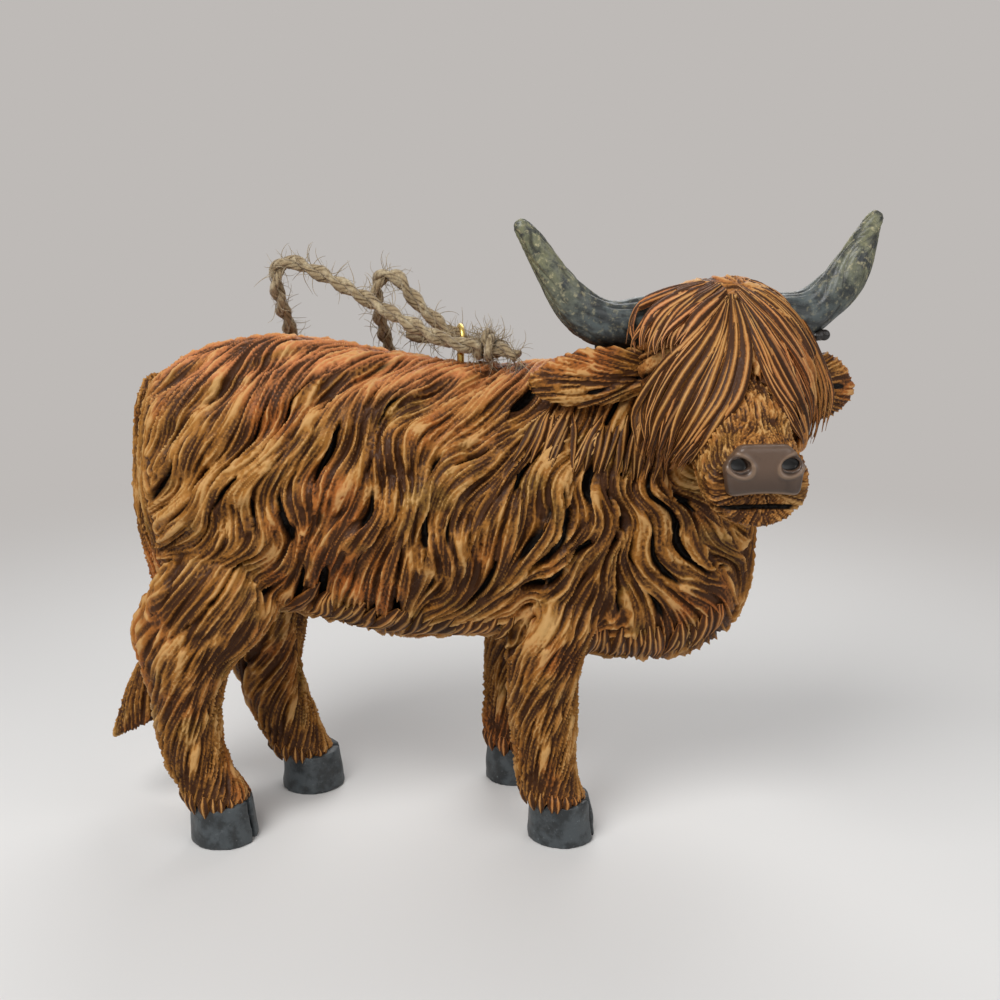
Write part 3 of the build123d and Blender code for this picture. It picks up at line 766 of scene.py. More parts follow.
def buildTail(form):
    def placeOf(points, normals):
        away = points - sliceCentres(points, points[:, 2])
        return np.arctan2(away[:, 1], away[:, 0]) * 5 + 20, points[:, 2] + 2

    chart = combChart(40, 80, fanned(-math.pi / 2, 20, -0.02), form, 100)
    combPiece("tail_hair", "tail", form, chart, placeOf)


earForm = {
    "voxel": 0.4, "smoothing": 5, "lockDepth": 0.4, "strandDepth": 0.3, "hairDepth": 0.12,
    "gougeDepth": 0.4, "gougeLevel": 2.2,
    "locks": (2.8, 7.0), "strands": (1.6, 5.0), "hairs": (0.9, 3.0),
    "gouges": (3.0, 3.0), "tint": (5.0, 6.0), "sway": 0.08, "swayWave": 6.0,
}


def buildEar(name, node, toLeft, rootRise, form):
    def headingAt(a, b):
        return np.arctan2(b - 20 - rootRise, a + 4)

    def placeOf(points, normals):
        # front and back lie beside each other in the chart
        reach, across, rise = headPlaces(points)
        return toLeft * across - 8 + 24 * (normals @ headForward < 0), rise + 20

    combPiece(name, node, form, combChart(50, 40, headingAt, form, 120), placeOf)


buildHead(faceForm)
buildForelockBase(forelockForm)
buildTail(tailForm)
buildEar("near_ear_hair", "right_ear", -1, -4, earForm)
buildEar("far_ear_hair", "left_ear", 1, -5, earForm)
print("head, tail and ears combed")


# Swept locks: long leaf-shaped strands that follow guide lines, made by one node tree
fineLock = {"Profile Points": 12, "Flatness": 0.5, "Ribs": 0.14, "Rib Count": 3}


def makeLockTree():
    inputs = (("Guides", "NodeSocketGeometry"), ("Profile Points", "NodeSocketInt"),
              ("Flatness", "NodeSocketFloat"), ("Ribs", "NodeSocketFloat"), ("Rib Count", "NodeSocketInt"),
              ("Finish", "NodeSocketMaterial"))
    tree, entry, leave = newGroup("sweptLocks", inputs, [("Locks", "NodeSocketGeometry")], "GeometryNodeTree")
    given = entry.outputs

    def named(label, kind):
        node = addNode(tree, "GeometryNodeInputNamedAttribute", {"data_type": kind}, Name=label)
        return node.outputs["Attribute"]

    # a flattened circle with ribs for the profile, which remembers where its ribs are
    circle = addNode(tree, "GeometryNodeCurvePrimitiveCircle", Resolution=given["Profile Points"], Radius=1.0)
    place = tree.nodes.new("GeometryNodeInputPosition").outputs[0]
    split = addNode(tree, "ShaderNodeSeparateXYZ", Vector=place)
    turn = mathNode(tree, "ARCTAN2", split.outputs[1], split.outputs[0])
    wave = mathNode(tree, "COSINE", mathNode(tree, "MULTIPLY", turn, given["Rib Count"]))
    swell = mathNode(tree, "ADD", 1.0, mathNode(tree, "MULTIPLY", wave, given["Ribs"]))
    swelled = addNode(tree, "ShaderNodeVectorMath", {"operation": "SCALE"}, Vector=place, Scale=swell)
    squash = addNode(tree, "ShaderNodeCombineXYZ", X=given["Flatness"], Y=1.0, Z=1.0)
    shaped = addNode(tree, "ShaderNodeVectorMath", {"operation": "MULTIPLY"},
                     i0=swelled.outputs[0], i1=squash.outputs[0])
    profile = addNode(tree, "GeometryNodeSetPosition", Geometry=circle.outputs["Curve"],
                      Position=shaped.outputs[0])
    # Ridge is low between the ribs, where the wash lays painted shade in the grooves
    edge = mathNode(tree, "ADD", 0.6, mathNode(tree, "MULTIPLY", wave, 0.38))
    marked = addNode(tree, "GeometryNodeStoreNamedAttribute", {"data_type": "FLOAT", "domain": "POINT"},
                     Geometry=profile.outputs[0], Name="ridge", Value=edge)

    # swept along the guides, with the flat side outwards
    curve = addNode(tree, "GeometryNodeMeshToCurve", Mesh=given["Guides"])
    facing = addNode(tree, "GeometryNodeSetCurveNormal", {"mode": "FREE"}, Curve=curve.outputs[0],
                     Normal=named("outward", "FLOAT_VECTOR"))
    swept = addNode(tree, "GeometryNodeCurveToMesh", Curve=facing.outputs[0],
                    Scale=named("halfWidth", "FLOAT"))
    feed(tree, swept.inputs["Profile Curve"], marked.outputs[0])
    feed(tree, swept.inputs["Fill Caps"], True)
    endTree(tree, swept.outputs[0], given["Finish"], leave)
    return tree


def endTree(tree, shape, finish, leave):
    real = addNode(tree, "GeometryNodeRealizeInstances", Geometry=shape)
    done = addNode(tree, "GeometryNodeSetMaterial", Geometry=real.outputs[0], Material=finish)
    tree.links.new(done.outputs[0], leave.inputs[0])


lockTree = makeLockTree()


def grown(name, mesh, tree, inputs):
    # What the node tree makes on the mesh. Each input is set by its socket's identifier
    piece = linkObject(name, mesh)
    modifier = piece.modifiers.new(name, "NODES")
    modifier.node_group = tree
    for item in tree.interface.items_tree:
        if item.item_type == "SOCKET" and item.in_out == "INPUT" and item.name in inputs:
            modifier[item.identifier] = inputs[item.name]
    result = evaluatedMesh(piece)
    bpy.data.objects.remove(piece)
    return result


def sweepLocks(name, guides):
    # A guide has points, outward and halfWidth in millimetres, and tint, rust with highlight and hollow from
    # 0 to 1. Hollow darkens the whole lock towards the pit colour, painted shade of a lock lying deeper
    points, edges, outward, widths = [], [], [], []
    paints = {"tint": [], "rust": [], "hollow": []}
    for guide in guides:
        start, count = len(points), len(guide["points"])
        points.extend(guide["points"])
        outward.extend(guide["outward"])
        widths.extend(guide["halfWidth"])
        for label, values in paints.items():
            values.extend([guide[label]] * count)
        edges.extend((start + k, start + k + 1) for k in range(count - 1))
    mesh = bpy.data.meshes.new("guides")
    mesh.from_pydata([tuple(p) for p in points], edges, [])
    layer = mesh.attributes.new("outward", "FLOAT_VECTOR", "POINT")
    layer.data.foreach_set("vector", np.asarray(outward, np.float32).ravel())
    markPaint(mesh, halfWidth=widths, **paints)
    swept = grown("locks", mesh, lockTree, {**fineLock, "Finish": coatMaterial})
    settle(finishMesh(swept, name, readMesh(swept)[0], coatMaterial), "coat")


def alongLine(line, count):
    # Evenly spaced points along a line
    length = lengthAlong(line)
    return between(np.linspace(0, length[-1], count), length, line)


def smoothLine(points, count):
    # Evenly spaced points along a Catmull-Rom line through the given ones
    points = np.asarray(points, float)
    padded = np.vstack((2 * points[0] - points[1], points, 2 * points[-1] - points[-2]))
    share = np.linspace(0, len(points) - 1, count * 4)
    index = np.minimum(share.astype(int), len(points) - 2)
    t = (share - index)[:, None]
    p0, p1, p2, p3 = (padded[index + k] for k in range(4))
    square, cube = 2 * p0 - 5 * p1 + 4 * p2 - p3, 3 * p1 - p0 - 3 * p2 + p3
    return alongLine(0.5 * (2 * p1 + (p2 - p0) * t + square * t ** 2 + cube * t ** 3), count)


# Forelock: three fans of locks from the crown, as places across and up from the skull
forelockFans = {
    "tuft": {"guides": (
        ((-2.3, 9.5), (-6.5, 8.2), (-10.2, 6.1), (-12.1, 3.1), (-12.8, -0.4)),
        ((-0.5, 9.3), (-4.1, 7.2), (-7.2, 4.6), (-9.3, 1.1), (-9.5, -1.3)),
        ((0.5, 8.6), (-1.3, 6.8), (-3.8, 4.4), (-5.9, 2.3), (-6.9, 0.2)),
    ), "locks": 26, "lift": 0.9, "width": 0.6, "rust": 0.6},
    "leftCurtain": {"guides": (
        ((0.2, 7.6), (-4.2, 3.4), (-8.8, -1.2), (-11.4, -7.4), (-11.0, -12.0), (-9.7, -16.3)),
        ((0.6, 7.8), (-1.6, 2.2), (-5.0, -4.5), (-7.5, -10.7), (-8.4, -14.5), (-8.6, -16.7)),
        ((1.2, 7.8), (2.0, 1.8), (0.9, -4.5), (-1.4, -8.5), (-3.9, -12.6), (-5.9, -16.4)),
    ), "locks": 44, "lift": 0.3, "width": 0.62, "rust": 0.25},
    "rightCurtain": {"guides": (
        ((3.0, 9.9), (7.4, 8.4), (11.8, 4.3), (14.9, -1.7), (16.2, -6.1), (15.0, -11.8)),
        ((1.6, 8.9), (6.0, 4.0), (9.8, -2.1), (12.0, -8.5), (12.0, -12.8), (11.3, -15.0)),
        ((1.8, 6.6), (3.2, 1.6), (5.1, -4.2), (7.5, -8.5), (9.6, -12.0), (11.3, -14.8)),
    ), "locks": 40, "lift": 0.4, "width": 0.62, "rust": 0.4},
}
# Height up from the skull, then the cap's middle reach, half depth and half width there
capShape = np.array((
    (-18.0, 15.6, 7.0, 9.0), (-15.0, 14.8, 7.9, 10.4), (-11.5, 14.5, 10.0, 12.2), (-6.5, 13.1, 10.5, 12.9),
    (0.0, 10.5, 10.5, 12.9), (4.4, 8.4, 9.3, 11.4), (8.0, 7.0, 7.0, 8.4), (10.2, 6.0, 3.4, 4.0),
    (11.0, 6.0, 1.0, 1.0),
))


def onCap(across, rise, lift):
    # A place on the cap of hair, lifted from it, and the way out
    middle, depth, width = between(rise, capShape[:, 0], capShape[:, 1:]).T
    side = np.clip(across / width, -1, 1)
    bulge = np.sqrt(np.maximum(1 - side ** 2, 0.02))
    reach = middle + (depth + lift) * bulge
    across = across + lift * side - reach * math.tan(headTurn + math.pi / 2)
    forward, left = (bulge / depth)[:, None], (side / width)[:, None]
    outward = unit(headForward * forward + headLeft * left + upward * 0.02)
    return headPoint(reach[:, None], across[:, None], rise[:, None]), outward


def buildForelock(fans, count):
    # count: points along each lock
    rng = np.random.default_rng(5)
    along = np.linspace(0, 1, count)
    guides = []
    for fan in fans.values():
        keys = [smoothLine(guide, count) for guide in fan["guides"]]
        for order in range(fan["locks"]):
            share = (order + rng.uniform(-0.35, 0.35)) / (fan["locks"] - 1) * (len(keys) - 1)
            share = min(max(share, 0), len(keys) - 1)
            index = min(int(share), len(keys) - 2)
            part = share - index
            line = keys[index] * (1 - part) + keys[index + 1] * part
            start, end = rng.uniform(0, 0.06), rng.uniform(0.86, 1.0)
            line = between(np.linspace(start, end, count) * (count - 1), np.arange(count), line)
            wave = rng.uniform(0.2, 0.9) * np.sin(along * rng.uniform(3, 7) + rng.uniform(0, 6))
            line[:, 0] += wave * along
            lift = fan["lift"] + rng.uniform(-0.4, 0.6) + 0.3 * np.sin(along * 5 + rng.uniform(0, 6))
            points, outward = onCap(line[:, 0], line[:, 1], lift)
            body = np.minimum(1, 0.35 + 2.6 * along) * np.clip((1 - along) * 3.2, 0.06, 1) ** 0.8
            # Some locks get a hollow value: painted shade, as if they lay deeper
            guides.append({
                "points": points, "outward": outward,
                "halfWidth": fan["width"] * rng.uniform(0.45, 1.6) * body,
                "tint": rng.uniform(0, 1), "rust": fan["rust"] * rng.uniform(0.2, 1.4),
                "hollow": max(0, rng.uniform(-0.6, 0.45))})
    sweepLocks("forelock_locks", guides)


buildForelock(forelockFans, 22)
print("forelock laid")


# Fringes: locks that cling to the coat, then hang free. A row's tips are given as x and z
fringes = {
    "belly_fringe": {
        "tips": ((-28, 37.6), (-19, 34.8), (-11.5, 32.8), (-5.5, 31.8), (3, 33.4)),
        "beside": 11, "sides": (-1, 1),
        "locks": 30, "length": 6.5, "lean": -118, "width": 0.95, "cling": 0.5, "curl": (-0.2, 0.0, 0.06)},
    "chest_fringe": {
        "tips": ((17, 32.4), (22, 31.0), (28, 30.6), (33, 31.4), (38, 34.2)),
        "beside": 8, "sides": (-1, 1),
        "locks": 26, "length": 6.0, "lean": -88, "width": 0.8, "cling": 0.5, "curl": (-0.12, 0.0, 0.0)},
    "ear_fringe": {
        "tips": ((7, 66.0), (14, 63.0), (21, 61.5), (27, 60.5)), "beside": 16, "sides": (-1,),
        "locks": 24, "length": 8.5, "lean": -106, "width": 0.62, "cling": 0.9, "curl": (0.25, 0.0, 0.0)},
}
cuffLocks = {"locks": 20, "length": 3.2, "topHeight": 9.2, "reach": 7.0, "width": 0.72, "lift": 0.2,
             "cling": 0.4, "curl": (0, 0, -0.2)}


def layLock(start, heading, length, lift, cling, curl, steps=12):
    # A line of points over the coat, and the way out from it
    stride = length / (steps - 1)
    foot, outward, _, _ = coatSurface.find_nearest(Vector(start))
    way = Vector(heading)
    points, outwards = [], []
    for step in range(steps):
        share = step / (steps - 1)
        points.append(tuple(foot + outward * lift * (min(share / 0.3, 1) * 1.4 - 0.4)))
        outwards.append(tuple(outward))
        way = (way - outward * way.dot(outward)).normalized()
        foot = foot + way * stride
        if share < cling:
            foot, fresh, _, _ = coatSurface.find_nearest(foot)
            outward = outward.lerp(fresh, 0.5).normalized()
        else:
            way = way + Vector(curl)
    return np.array(points), np.array(outwards)


def dressGuide(rng, points, outward, width, rust, hollow=0.0):
    along = np.linspace(0, 1, len(points))
    body = np.minimum(1, 0.3 + 2.4 * along) * np.clip((1 - along) * 2.6, 0.08, 1) ** 0.7
    return {"points": points, "outward": outward, "halfWidth": width * rng.uniform(0.75, 1.25) * body,
            "tint": rng.uniform(0, 1), "rust": rust * rng.uniform(0, 1), "hollow": hollow}


def buildFringe(name, row, seed):
    rng = np.random.default_rng(seed)
    tips = smoothLine(row["tips"], row["locks"])
    lean = math.radians(row["lean"])
    guides = []
    for side in row["sides"]:
        for tipX, tipZ in tips:
            length = row["length"] * rng.uniform(0.8, 1.2)
            turn = lean + rng.uniform(-0.16, 0.16)
            heading = (math.cos(turn), 0.0, math.sin(turn))
            tipX = tipX + rng.uniform(-0.5, 0.5)
            start = (tipX - heading[0] * length, side * row["beside"], tipZ - heading[2] * length)
            lock = layLock(start, heading, length, rng.uniform(0.2, 0.7), row["cling"], row["curl"])
            # The last number is the lock's hollow: painted shade, as if it lay deeper
            guides.append(dressGuide(rng, *lock, row["width"], 0.15, rng.uniform(0, 0.45)))
    sweepLocks(name, guides)


def buildCuffs(row):
    rng = np.random.default_rng(31)
    guides = []
    for axisX, axisY in legAxes.values():
        for order in range(row["locks"]):
            turn = 2 * math.pi * (order + rng.uniform(-0.3, 0.3)) / row["locks"]
            startX, startY = axisX + row["reach"] * math.cos(turn), axisY + row["reach"] * math.sin(turn)
            start = (startX, startY, row["topHeight"])
            length = row["length"] * rng.uniform(0.8, 1.2)
            lock = layLock(start, (0.0, 0.0, -1.0), length, row["lift"], row["cling"], row["curl"])
            guides.append(dressGuide(rng, *lock, row["width"], 0.1))
    sweepLocks("hoof_cuffs", guides)


for order, (name, row) in enumerate(fringes.items()):
    buildFringe(name, row, 21 + order)
buildCuffs(cuffLocks)
print("fringes hung")


# Horns: slate grey with olive and bone mottling towards the tips
hornPaint = {
    "slate": colour(74, 82, 82), "deep": colour(38, 43, 44), "olive": colour(112, 112, 84),
    "bone": colour(184, 174, 136), "black": colour(18, 19, 18), "roughness": 0.42,
}


def makeHornMaterial(paint):
    material, tree, shader, place = newMaterial("hornPaint", paint)
    tip = attributeNode(tree, "tip")
    streaks = noiseNode(tree, place, 2.2, 4.0, 0.65)
    fine = noiseNode(tree, place, 0.7, 4.0, 0.6)
    base = paintLayers(tree, paint["deep"], (paint["slate"], streaks, 0.4, 0.62))
    oliveTip, boneTip = rangeNode(tree, tip, 0.35, 0.8), rangeNode(tree, tip, 0.1, 0.9, 0.15, 0.6)
    olive = mathNode(tree, "MULTIPLY", rangeNode(tree, streaks, 0.35, 0.6), oliveTip)
    bone = mathNode(tree, "MULTIPLY", rangeNode(tree, fine, 0.52, 0.68), boneTip)
    base = mixColours(tree, olive, base, paint["olive"])
    base = mixColours(tree, bone, base, paint["bone"])
    base = paintLayers(tree, base, (paint["black"], attributeNode(tree, "ridge"), 0.5, 0.1, 0.0, 0.75))
    finishPaint(tree, shader, base, fine, (0.3, 0.15), fine, (0.34, 0.52))
    return material


hornMaterial = makeHornMaterial(hornPaint)
hornForm = {
    "voxel": 0.42, "smoothing": 6, "groove": 0.32, "fineGroove": 0.1, "grooveSharpness": 1.3,
    "grooveMiddle": 0.7, "locks": (5.2, 8.0), "strands": (2.4, 6.0), "sway": 0.26, "swayWave": 10.0,
}
gluePaint = {"black": colour(14, 12, 11), "brown": colour(34, 28, 24), "roughness": 0.3}


def makeGlueMaterial(paint):
    material, tree, shader, place = newMaterial("blackGlue", paint)
    grain = noiseNode(tree, place, 0.5, 3.0, 0.6)
    base = mixColours(tree, grain, paint["black"], paint["brown"])
    finishPaint(tree, shader, base, grain, (0.5, 0.2), grain, (0.22, 0.45))
    return material


glueMaterial = makeGlueMaterial(gluePaint)
glueForm = {"voxel": 0.16, "smoothing": 3, "lumps": 5}


def buildGlue(name, horn, aim, seed, form):
    # A squeezed-out bead: a few lumps on the horn's underside, under one skin
    rng = np.random.default_rng(seed)
    spot = horn[np.argmin(np.linalg.norm(horn - aim, axis=1))]
    allPoints, allFaces = [], []
    for order in range(form["lumps"]):
        away = (rng.uniform(-1.6, 1.6), rng.uniform(-0.5, 0.5), rng.uniform(-0.5, 0.1))
        points, faces = ballMesh(spot + away, rng.uniform(0.55, 0.95, 3))
        allPoints.append(points)
        allFaces.append(faces + order * len(points))
    skin = remeshed(meshOf(np.vstack(allPoints), np.vstack(allFaces)), form)
    settle(finishMesh(skin, name, readMesh(skin)[0], glueMaterial), "horn")


def buildHorn(name, node, toLeft, form):
    mesh = remeshed(nodeCopy(node), form)
    points, normals = readMesh(mesh)
    reach, across, rise = headPlaces(points)
    along = toLeft * across + rise
    away = points - sliceCentres(points, along)
    turn = np.arctan2(away @ headForward, away[:, 2])
    chart = combChart(30, 60, fanned(math.pi / 2), form, 140 + toLeft)
    a, b = turn * 3.2 + 15, along - along.min() + 3
    groove, fine = (np.tanh(form["grooveSharpness"] * np.abs(readChart(chart, grain, a, b)))
                    for grain in ("locks", "strands"))
    tip = (along - along.min()) / (along.max() - along.min())
    middle = form["grooveMiddle"]
    height = form["groove"] * (groove - middle) * (1 - 0.5 * tip) + form["fineGroove"] * (fine - middle)
    points = points + normals * height[:, None]
    markPaint(mesh, tip=tip, ridge=np.clip(0.6 * groove + 0.4 * fine, 0, 1))
    settle(finishMesh(mesh, name, points, hornMaterial), "horn", node)
    return points


nearHorn = buildHorn("near_horn", "right_horn", -1, hornForm)
buildGlue("near_horn_glue", nearHorn, (17.0, -9.0, 77.0), 51, glueForm)
farHorn = buildHorn("far_horn", "left_horn", 1, hornForm)
buildGlue("far_horn_glue", farHorn, (53.0, -9.0, 78.5), 52, glueForm)


# Hooves: slate grey, with pale worn flecks
hoofPaint = {
    "slate": colour(66, 72, 75), "deep": colour(34, 38, 40), "pale": colour(120, 126, 128), "roughness": 0.45,
}


def makeHoofMaterial(paint):
    material, tree, shader, place = newMaterial("hoofPaint", paint)
    patch = noiseNode(tree, place, 2.6, 4.0, 0.6)
    fine = noiseNode(tree, place, 0.6, 4.0, 0.6)
    base = paintLayers(
        tree, paint["deep"],
        (paint["slate"], patch, 0.38, 0.6),
        (paint["pale"], fine, 0.6, 0.75, 0.0, 0.5),
    )
    finishPaint(tree, shader, base, fine, (0.35, 0.15), patch, (0.36, 0.56))
    return material


hoofMaterial = makeHoofMaterial(hoofPaint)
hoofForm = {"voxel": 0.32, "smoothing": 6, "lump": 0.22}


def buildHoof(leg, form):
    mesh = remeshed(nodeCopy(leg + "_hoof"), form)
    points, normals = readMesh(mesh)
    x, y, z = points.T
    lump = (np.sin(x * 0.9 + 1) * np.sin(y * 1.1) * np.sin(z * 0.8 + 2))
    points = points + normals * (lump * form["lump"] * smoothStep(0.5, 2.0, z))[:, None]
    points[:, 2] = np.maximum(points[:, 2], 0)
    settle(finishMesh(mesh, leg + "_horn_shoe", points, hoofMaterial), "hoof", leg + "_hoof")


for leg in legNames:
    buildHoof(leg, hoofForm)


# Nose pad: satin taupe, with painted shade that darkens it towards the bottom
nosePaint = {
    "taupe": colour(90, 70, 56), "deep": colour(44, 32, 24), "pale": colour(142, 116, 92),
    "black": colour(10, 8, 8), "roughness": 0.36,
}


def makeNoseMaterial(paint):
    material, tree, shader, place = newMaterial("nosePaint", paint)
    down = attributeNode(tree, "down")
    base = paintLayers(
        tree, paint["taupe"],
        (paint["deep"], noiseNode(tree, place, 2.4, 3.0, 0.6), 0.5, 0.8, 0.0, 0.6),
        # Painted shade: darker towards the bottom of the pad
        (paint["deep"], down, 0.35, 0.85, 0.0, 0.6),
        (paint["pale"], down, 0.9, 0.97, 0.0, 0.7),
        (paint["pale"], attributeNode(tree, "ridge"), 0.3, 0.9, 0.0, 0.45),
    )
    base = mixColours(tree, attributeNode(tree, "hollow"), base, paint["black"])
    finishPaint(tree, shader, base, noiseNode(tree, place, 0.4, 4.0, 0.6), (0.2, 0.08))
    return material


noseMaterial = makeNoseMaterial(nosePaint)
noseForm = {
    "voxel": 0.2, "smoothing": 22, "raise": 0.5, "height": 7.0, "arch": 0.6, "spread": 3.5, "drop": 2.1,
    "nostril": (1.6, 1.3), "slant": 0.25, "depth": 0.3, "rim": 0.2, "rimPlace": 1.15, "rimWidth": 0.22,
}


def buildNose(form):
    mesh = remeshed(nodeCopy("nose_pad"), form)
    points, normals = readMesh(mesh)
    reach, across, rise = headPlaces(points)
    middle = (across.min() + across.max()) / 2
    top, low = rise.max(), rise.min()
    side = (across - middle) / (across.max() - middle)
    down = (top - rise) / (top - low)
    raised = form["raise"] + down * (top - low - form["height"]) + form["arch"] * down ** 2 * (1 - side ** 2)
    points = points + upward * raised[:, None]
    rise = rise + raised
    front = smoothStep(0.2, 0.6, normals @ headForward)
    width, height = form["nostril"]
    away = np.full(len(points), 9.0)  # from the nearest nostril's middle, where 1 is its edge
    for way in (-1, 1):
        beside = across - middle - way * form["spread"]
        over = rise - top + form["drop"] - form["slant"] * way * beside
        away = np.minimum(away, np.hypot(beside / width, over / height))
    dark = (1 - smoothStep(0.6, 0.95, away)) * front
    rim = np.exp(-((away - form["rimPlace"]) / form["rimWidth"]) ** 2) * front
    points = points + normals * (form["rim"] * rim - form["depth"] * dark)[:, None]
    markPaint(mesh, hollow=dark, ridge=rim, down=down)
    settle(finishMesh(mesh, "nose_skin", points, noseMaterial), "nose", "nose_pad")


buildNose(noseForm)
print("horns, hooves and nose made")


# Screw eye and pins keep their solids
metals = {
    "screw_eye": {"name": "brightBrass", "metal": colour(232, 200, 112), "roughness": 0.22},
    "horn_pins": {"name": "pinSteel", "metal": colour(170, 170, 172), "roughness": 0.35},
}
tarnish = {"grain": 0.8, "darkness": 0.45, "strength": 0.5, "roughening": 0.15}


def makeMetal(paint):
    material, tree, shader, place = newMaterial(paint["name"], paint)
    shader.inputs["Metallic"].default_value = 1.0
    patches = noiseNode(tree, place, tarnish["grain"], 4.0, 0.6)
    dull = (*(c * tarnish["darkness"] for c in paint["metal"][:3]), 1)
    shade = paintLayers(tree, paint["metal"], (dull, patches, 0.4, 0.7, 0.0, tarnish["strength"]))
    rough = rangeNode(tree, patches, 0.3, 0.7, paint["roughness"], paint["roughness"] + tarnish["roughening"])
    feed(tree, shader.inputs["Base Color"], shade)
    feed(tree, shader.inputs["Roughness"], rough)
    return material


for node, paint in metals.items():
    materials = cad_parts[node].data.materials
    materials.clear()
    materials.append(makeMetal(paint))


# Twine: two plies twisted along the loop, with loose fibres
twineSizes = {
    "diameter": 2.3, "plyOffset": 0.56, "plyRadius": 0.66, "pitch": 8.5, "spin": -1.3, "lobes": 5,
    "lobeDepth": 0.1, "ring": 12, "step": 0.45, "fibres": 700, "fibreLengths": (1.2, 4.2),
}
knotSizes = {
    "heart": (2.0, -1.6, 78.0), "way": (1.0, -0.35, -0.1), "radius": 1.5, "turns": 1.6, "advance": 2.4,
    "plyOffset": 0.5, "plyRadius": 0.62, "fibres": 420, "fibreLengths": (1.6, 4.0),
}
loopRoute = (
    (0.3, -2.9, 77.9), (-2.4, -3.9, 78.2), (-6.9, -3.5, 79.8), (-14.6, -0.9, 83.8), (-22.6, 1.2, 88.2),
    (-27.2, 1.9, 90.2), (-28.9, 2.3, 90.7), (-30.2, 2.6, 90.3), (-31.2, 3.0, 89.1), (-31.4, 3.7, 87.1),
    (-31.2, 5.8, 84.0), (-30.7, 10.9, 79.4), (-29.6, 17.2, 71.6), (-27.4, 20.6, 62.0), (-23.4, 21.6, 54.8),
    (-18.4, 21.4, 55.6), (-14.8, 20.8, 62.6), (-14.4, 17.4, 71.8), (-15.3, 10.8, 78.8), (-15.75, 7.0, 82.3),
    (-15.95, 5.5, 84.2), (-15.95, 4.8, 85.9), (-15.6, 4.35, 87.4), (-14.6, 3.8, 88.4), (-13.25, 3.15, 88.7),
    (-12.0, 2.5, 88.1), (-10.7, 2.2, 86.1), (-7.4, 1.4, 82.4), (-2.4, 0.0, 78.8), (0.3, -0.3, 77.9),
)
looseEnd = ((-11.2, 5.6, 79.2), (-7.8, 5.4, 78.8), (-4.2, 4.9, 78.2), (-0.7, 3.1, 78.0), (1.6, 0.2, 78.0))
shortEnd = ((2.0, -1.6, 77.9), (3.6, -2.8, 77.7), (5.2, -4.0, 77.2), (6.4, -4.9, 76.6))


def nurbsPoints(route):
    # The smooth line of the route, as the curve itself gives it, in millimetres
    data = bpy.data.curves.new("route", "CURVE")
    data.dimensions = "3D"
    spline = data.splines.new("NURBS")
    spline.points.add(len(route) - 1)
    for point, place in zip(spline.points, route):
        point.co = (*toFrame(place), 1)
    spline.order_u = 3
    spline.use_endpoint_u = True
    data.resolution_u = 16
    piece = linkObject("route", data)
    scene.view_layers[0].update()
    mesh = bpy.data.meshes.new_from_object(piece)
    points, _ = readMesh(mesh)
    bpy.data.objects.remove(piece)
    return points / mmScale - cowOrigin


def evenPoints(route, step):
    line = nurbsPoints(route)
    length = lengthAlong(line)[-1]
    return alongLine(line, max(int(length / step), 4)), length


def carriedFrame(line):
    # Directions across the line that don't spin as it bends
    tangent = unit(np.gradient(line, axis=0))
    side = np.zeros_like(line)
    side[0] = unit(np.cross(tangent[0], (0.3, 0.2, 1.0)))
    for k in range(1, len(line)):
        side[k] = unit(side[k - 1] - tangent[k] * (side[k - 1] @ tangent[k]))
    return side, np.cross(tangent, side)


def tubeFaces(rings, around, start):
    k, j = np.mgrid[0:rings - 1, 0:around]
    nextJ = (j + 1) % around
    a, b = k * around + j, k * around + nextJ
    return np.stack((a, b, b + around, a + around), -1).reshape(-1, 4) + start


def stepOut(side, over, turn, radius):
    # A step out from a line in the direction of the turn
    return (side * np.cos(turn)[..., None] + over * np.sin(turn)[..., None]) * radius[..., None]


def twistedPlies(line, sizes):
    # The rings of both plies along a line, closed at its ends, and the ridges of their strands
    side, over = carriedFrame(line)
    length = lengthAlong(line)
    angles = np.linspace(0, 2 * math.pi, sizes["ring"], endpoint=False)
    lobes = np.cos(sizes["lobes"] * angles)[None, :]
    ridge = np.broadcast_to(0.5 + 0.5 * lobes, (len(line) + 2, sizes["ring"]))
    for ply in range(2):
        turn = 2 * math.pi * length / sizes["pitch"] + math.pi * ply
        wander = 1 + 0.1 * np.sin(length * 0.7 + ply * 2)
        middle = (line + stepOut(side, over, turn, sizes["plyOffset"] * wander))[:, None, :]
        swell = 0.06 * np.sin(length * 1.9 + ply)[:, None]
        thick = sizes["plyRadius"] * (1 + sizes["lobeDepth"] * lobes + swell)
        around = angles[None, :] + (sizes["spin"] * turn)[:, None]
        ring = middle + stepOut(side[:, None, :], over[:, None, :], around, thick)
        first, last = (end.repeat(sizes["ring"], 1) for end in (middle[:1], middle[-1:]))
        yield np.concatenate((first, ring, last)), ridge


twinePaint = {
    "jute": colour(158, 138, 106), "pale": colour(206, 190, 156), "deep": colour(86, 66, 42),
    "roughness": 0.9, "specular": 0.2, "sheen": 0.25,
}


def makeTwineMaterial(paint):
    material, tree, shader, place = newMaterial("juteFibre", paint)
    shader.inputs["Sheen Weight"].default_value = paint["sheen"]
    fine = noiseNode(tree, place, 0.22, 3.0, 0.6)
    # The deep colour left between the strands' ridges is painted shade in the twist
    base = paintLayers(
        tree, paint["deep"],
        (paint["jute"], attributeNode(tree, "ridge"), 0.05, 0.6),
        (paint["pale"], noiseNode(tree, place, 1.6, 4.0, 0.65), 0.45, 0.7, 0.0, 0.7),
        (paint["deep"], fine, 0.5, 0.72, 0.0, 0.55),
    )
    finishPaint(tree, shader, base, fine, (0.7, 0.25))
    return material


twineMaterial = makeTwineMaterial(twinePaint)
fullTurn = 6.283


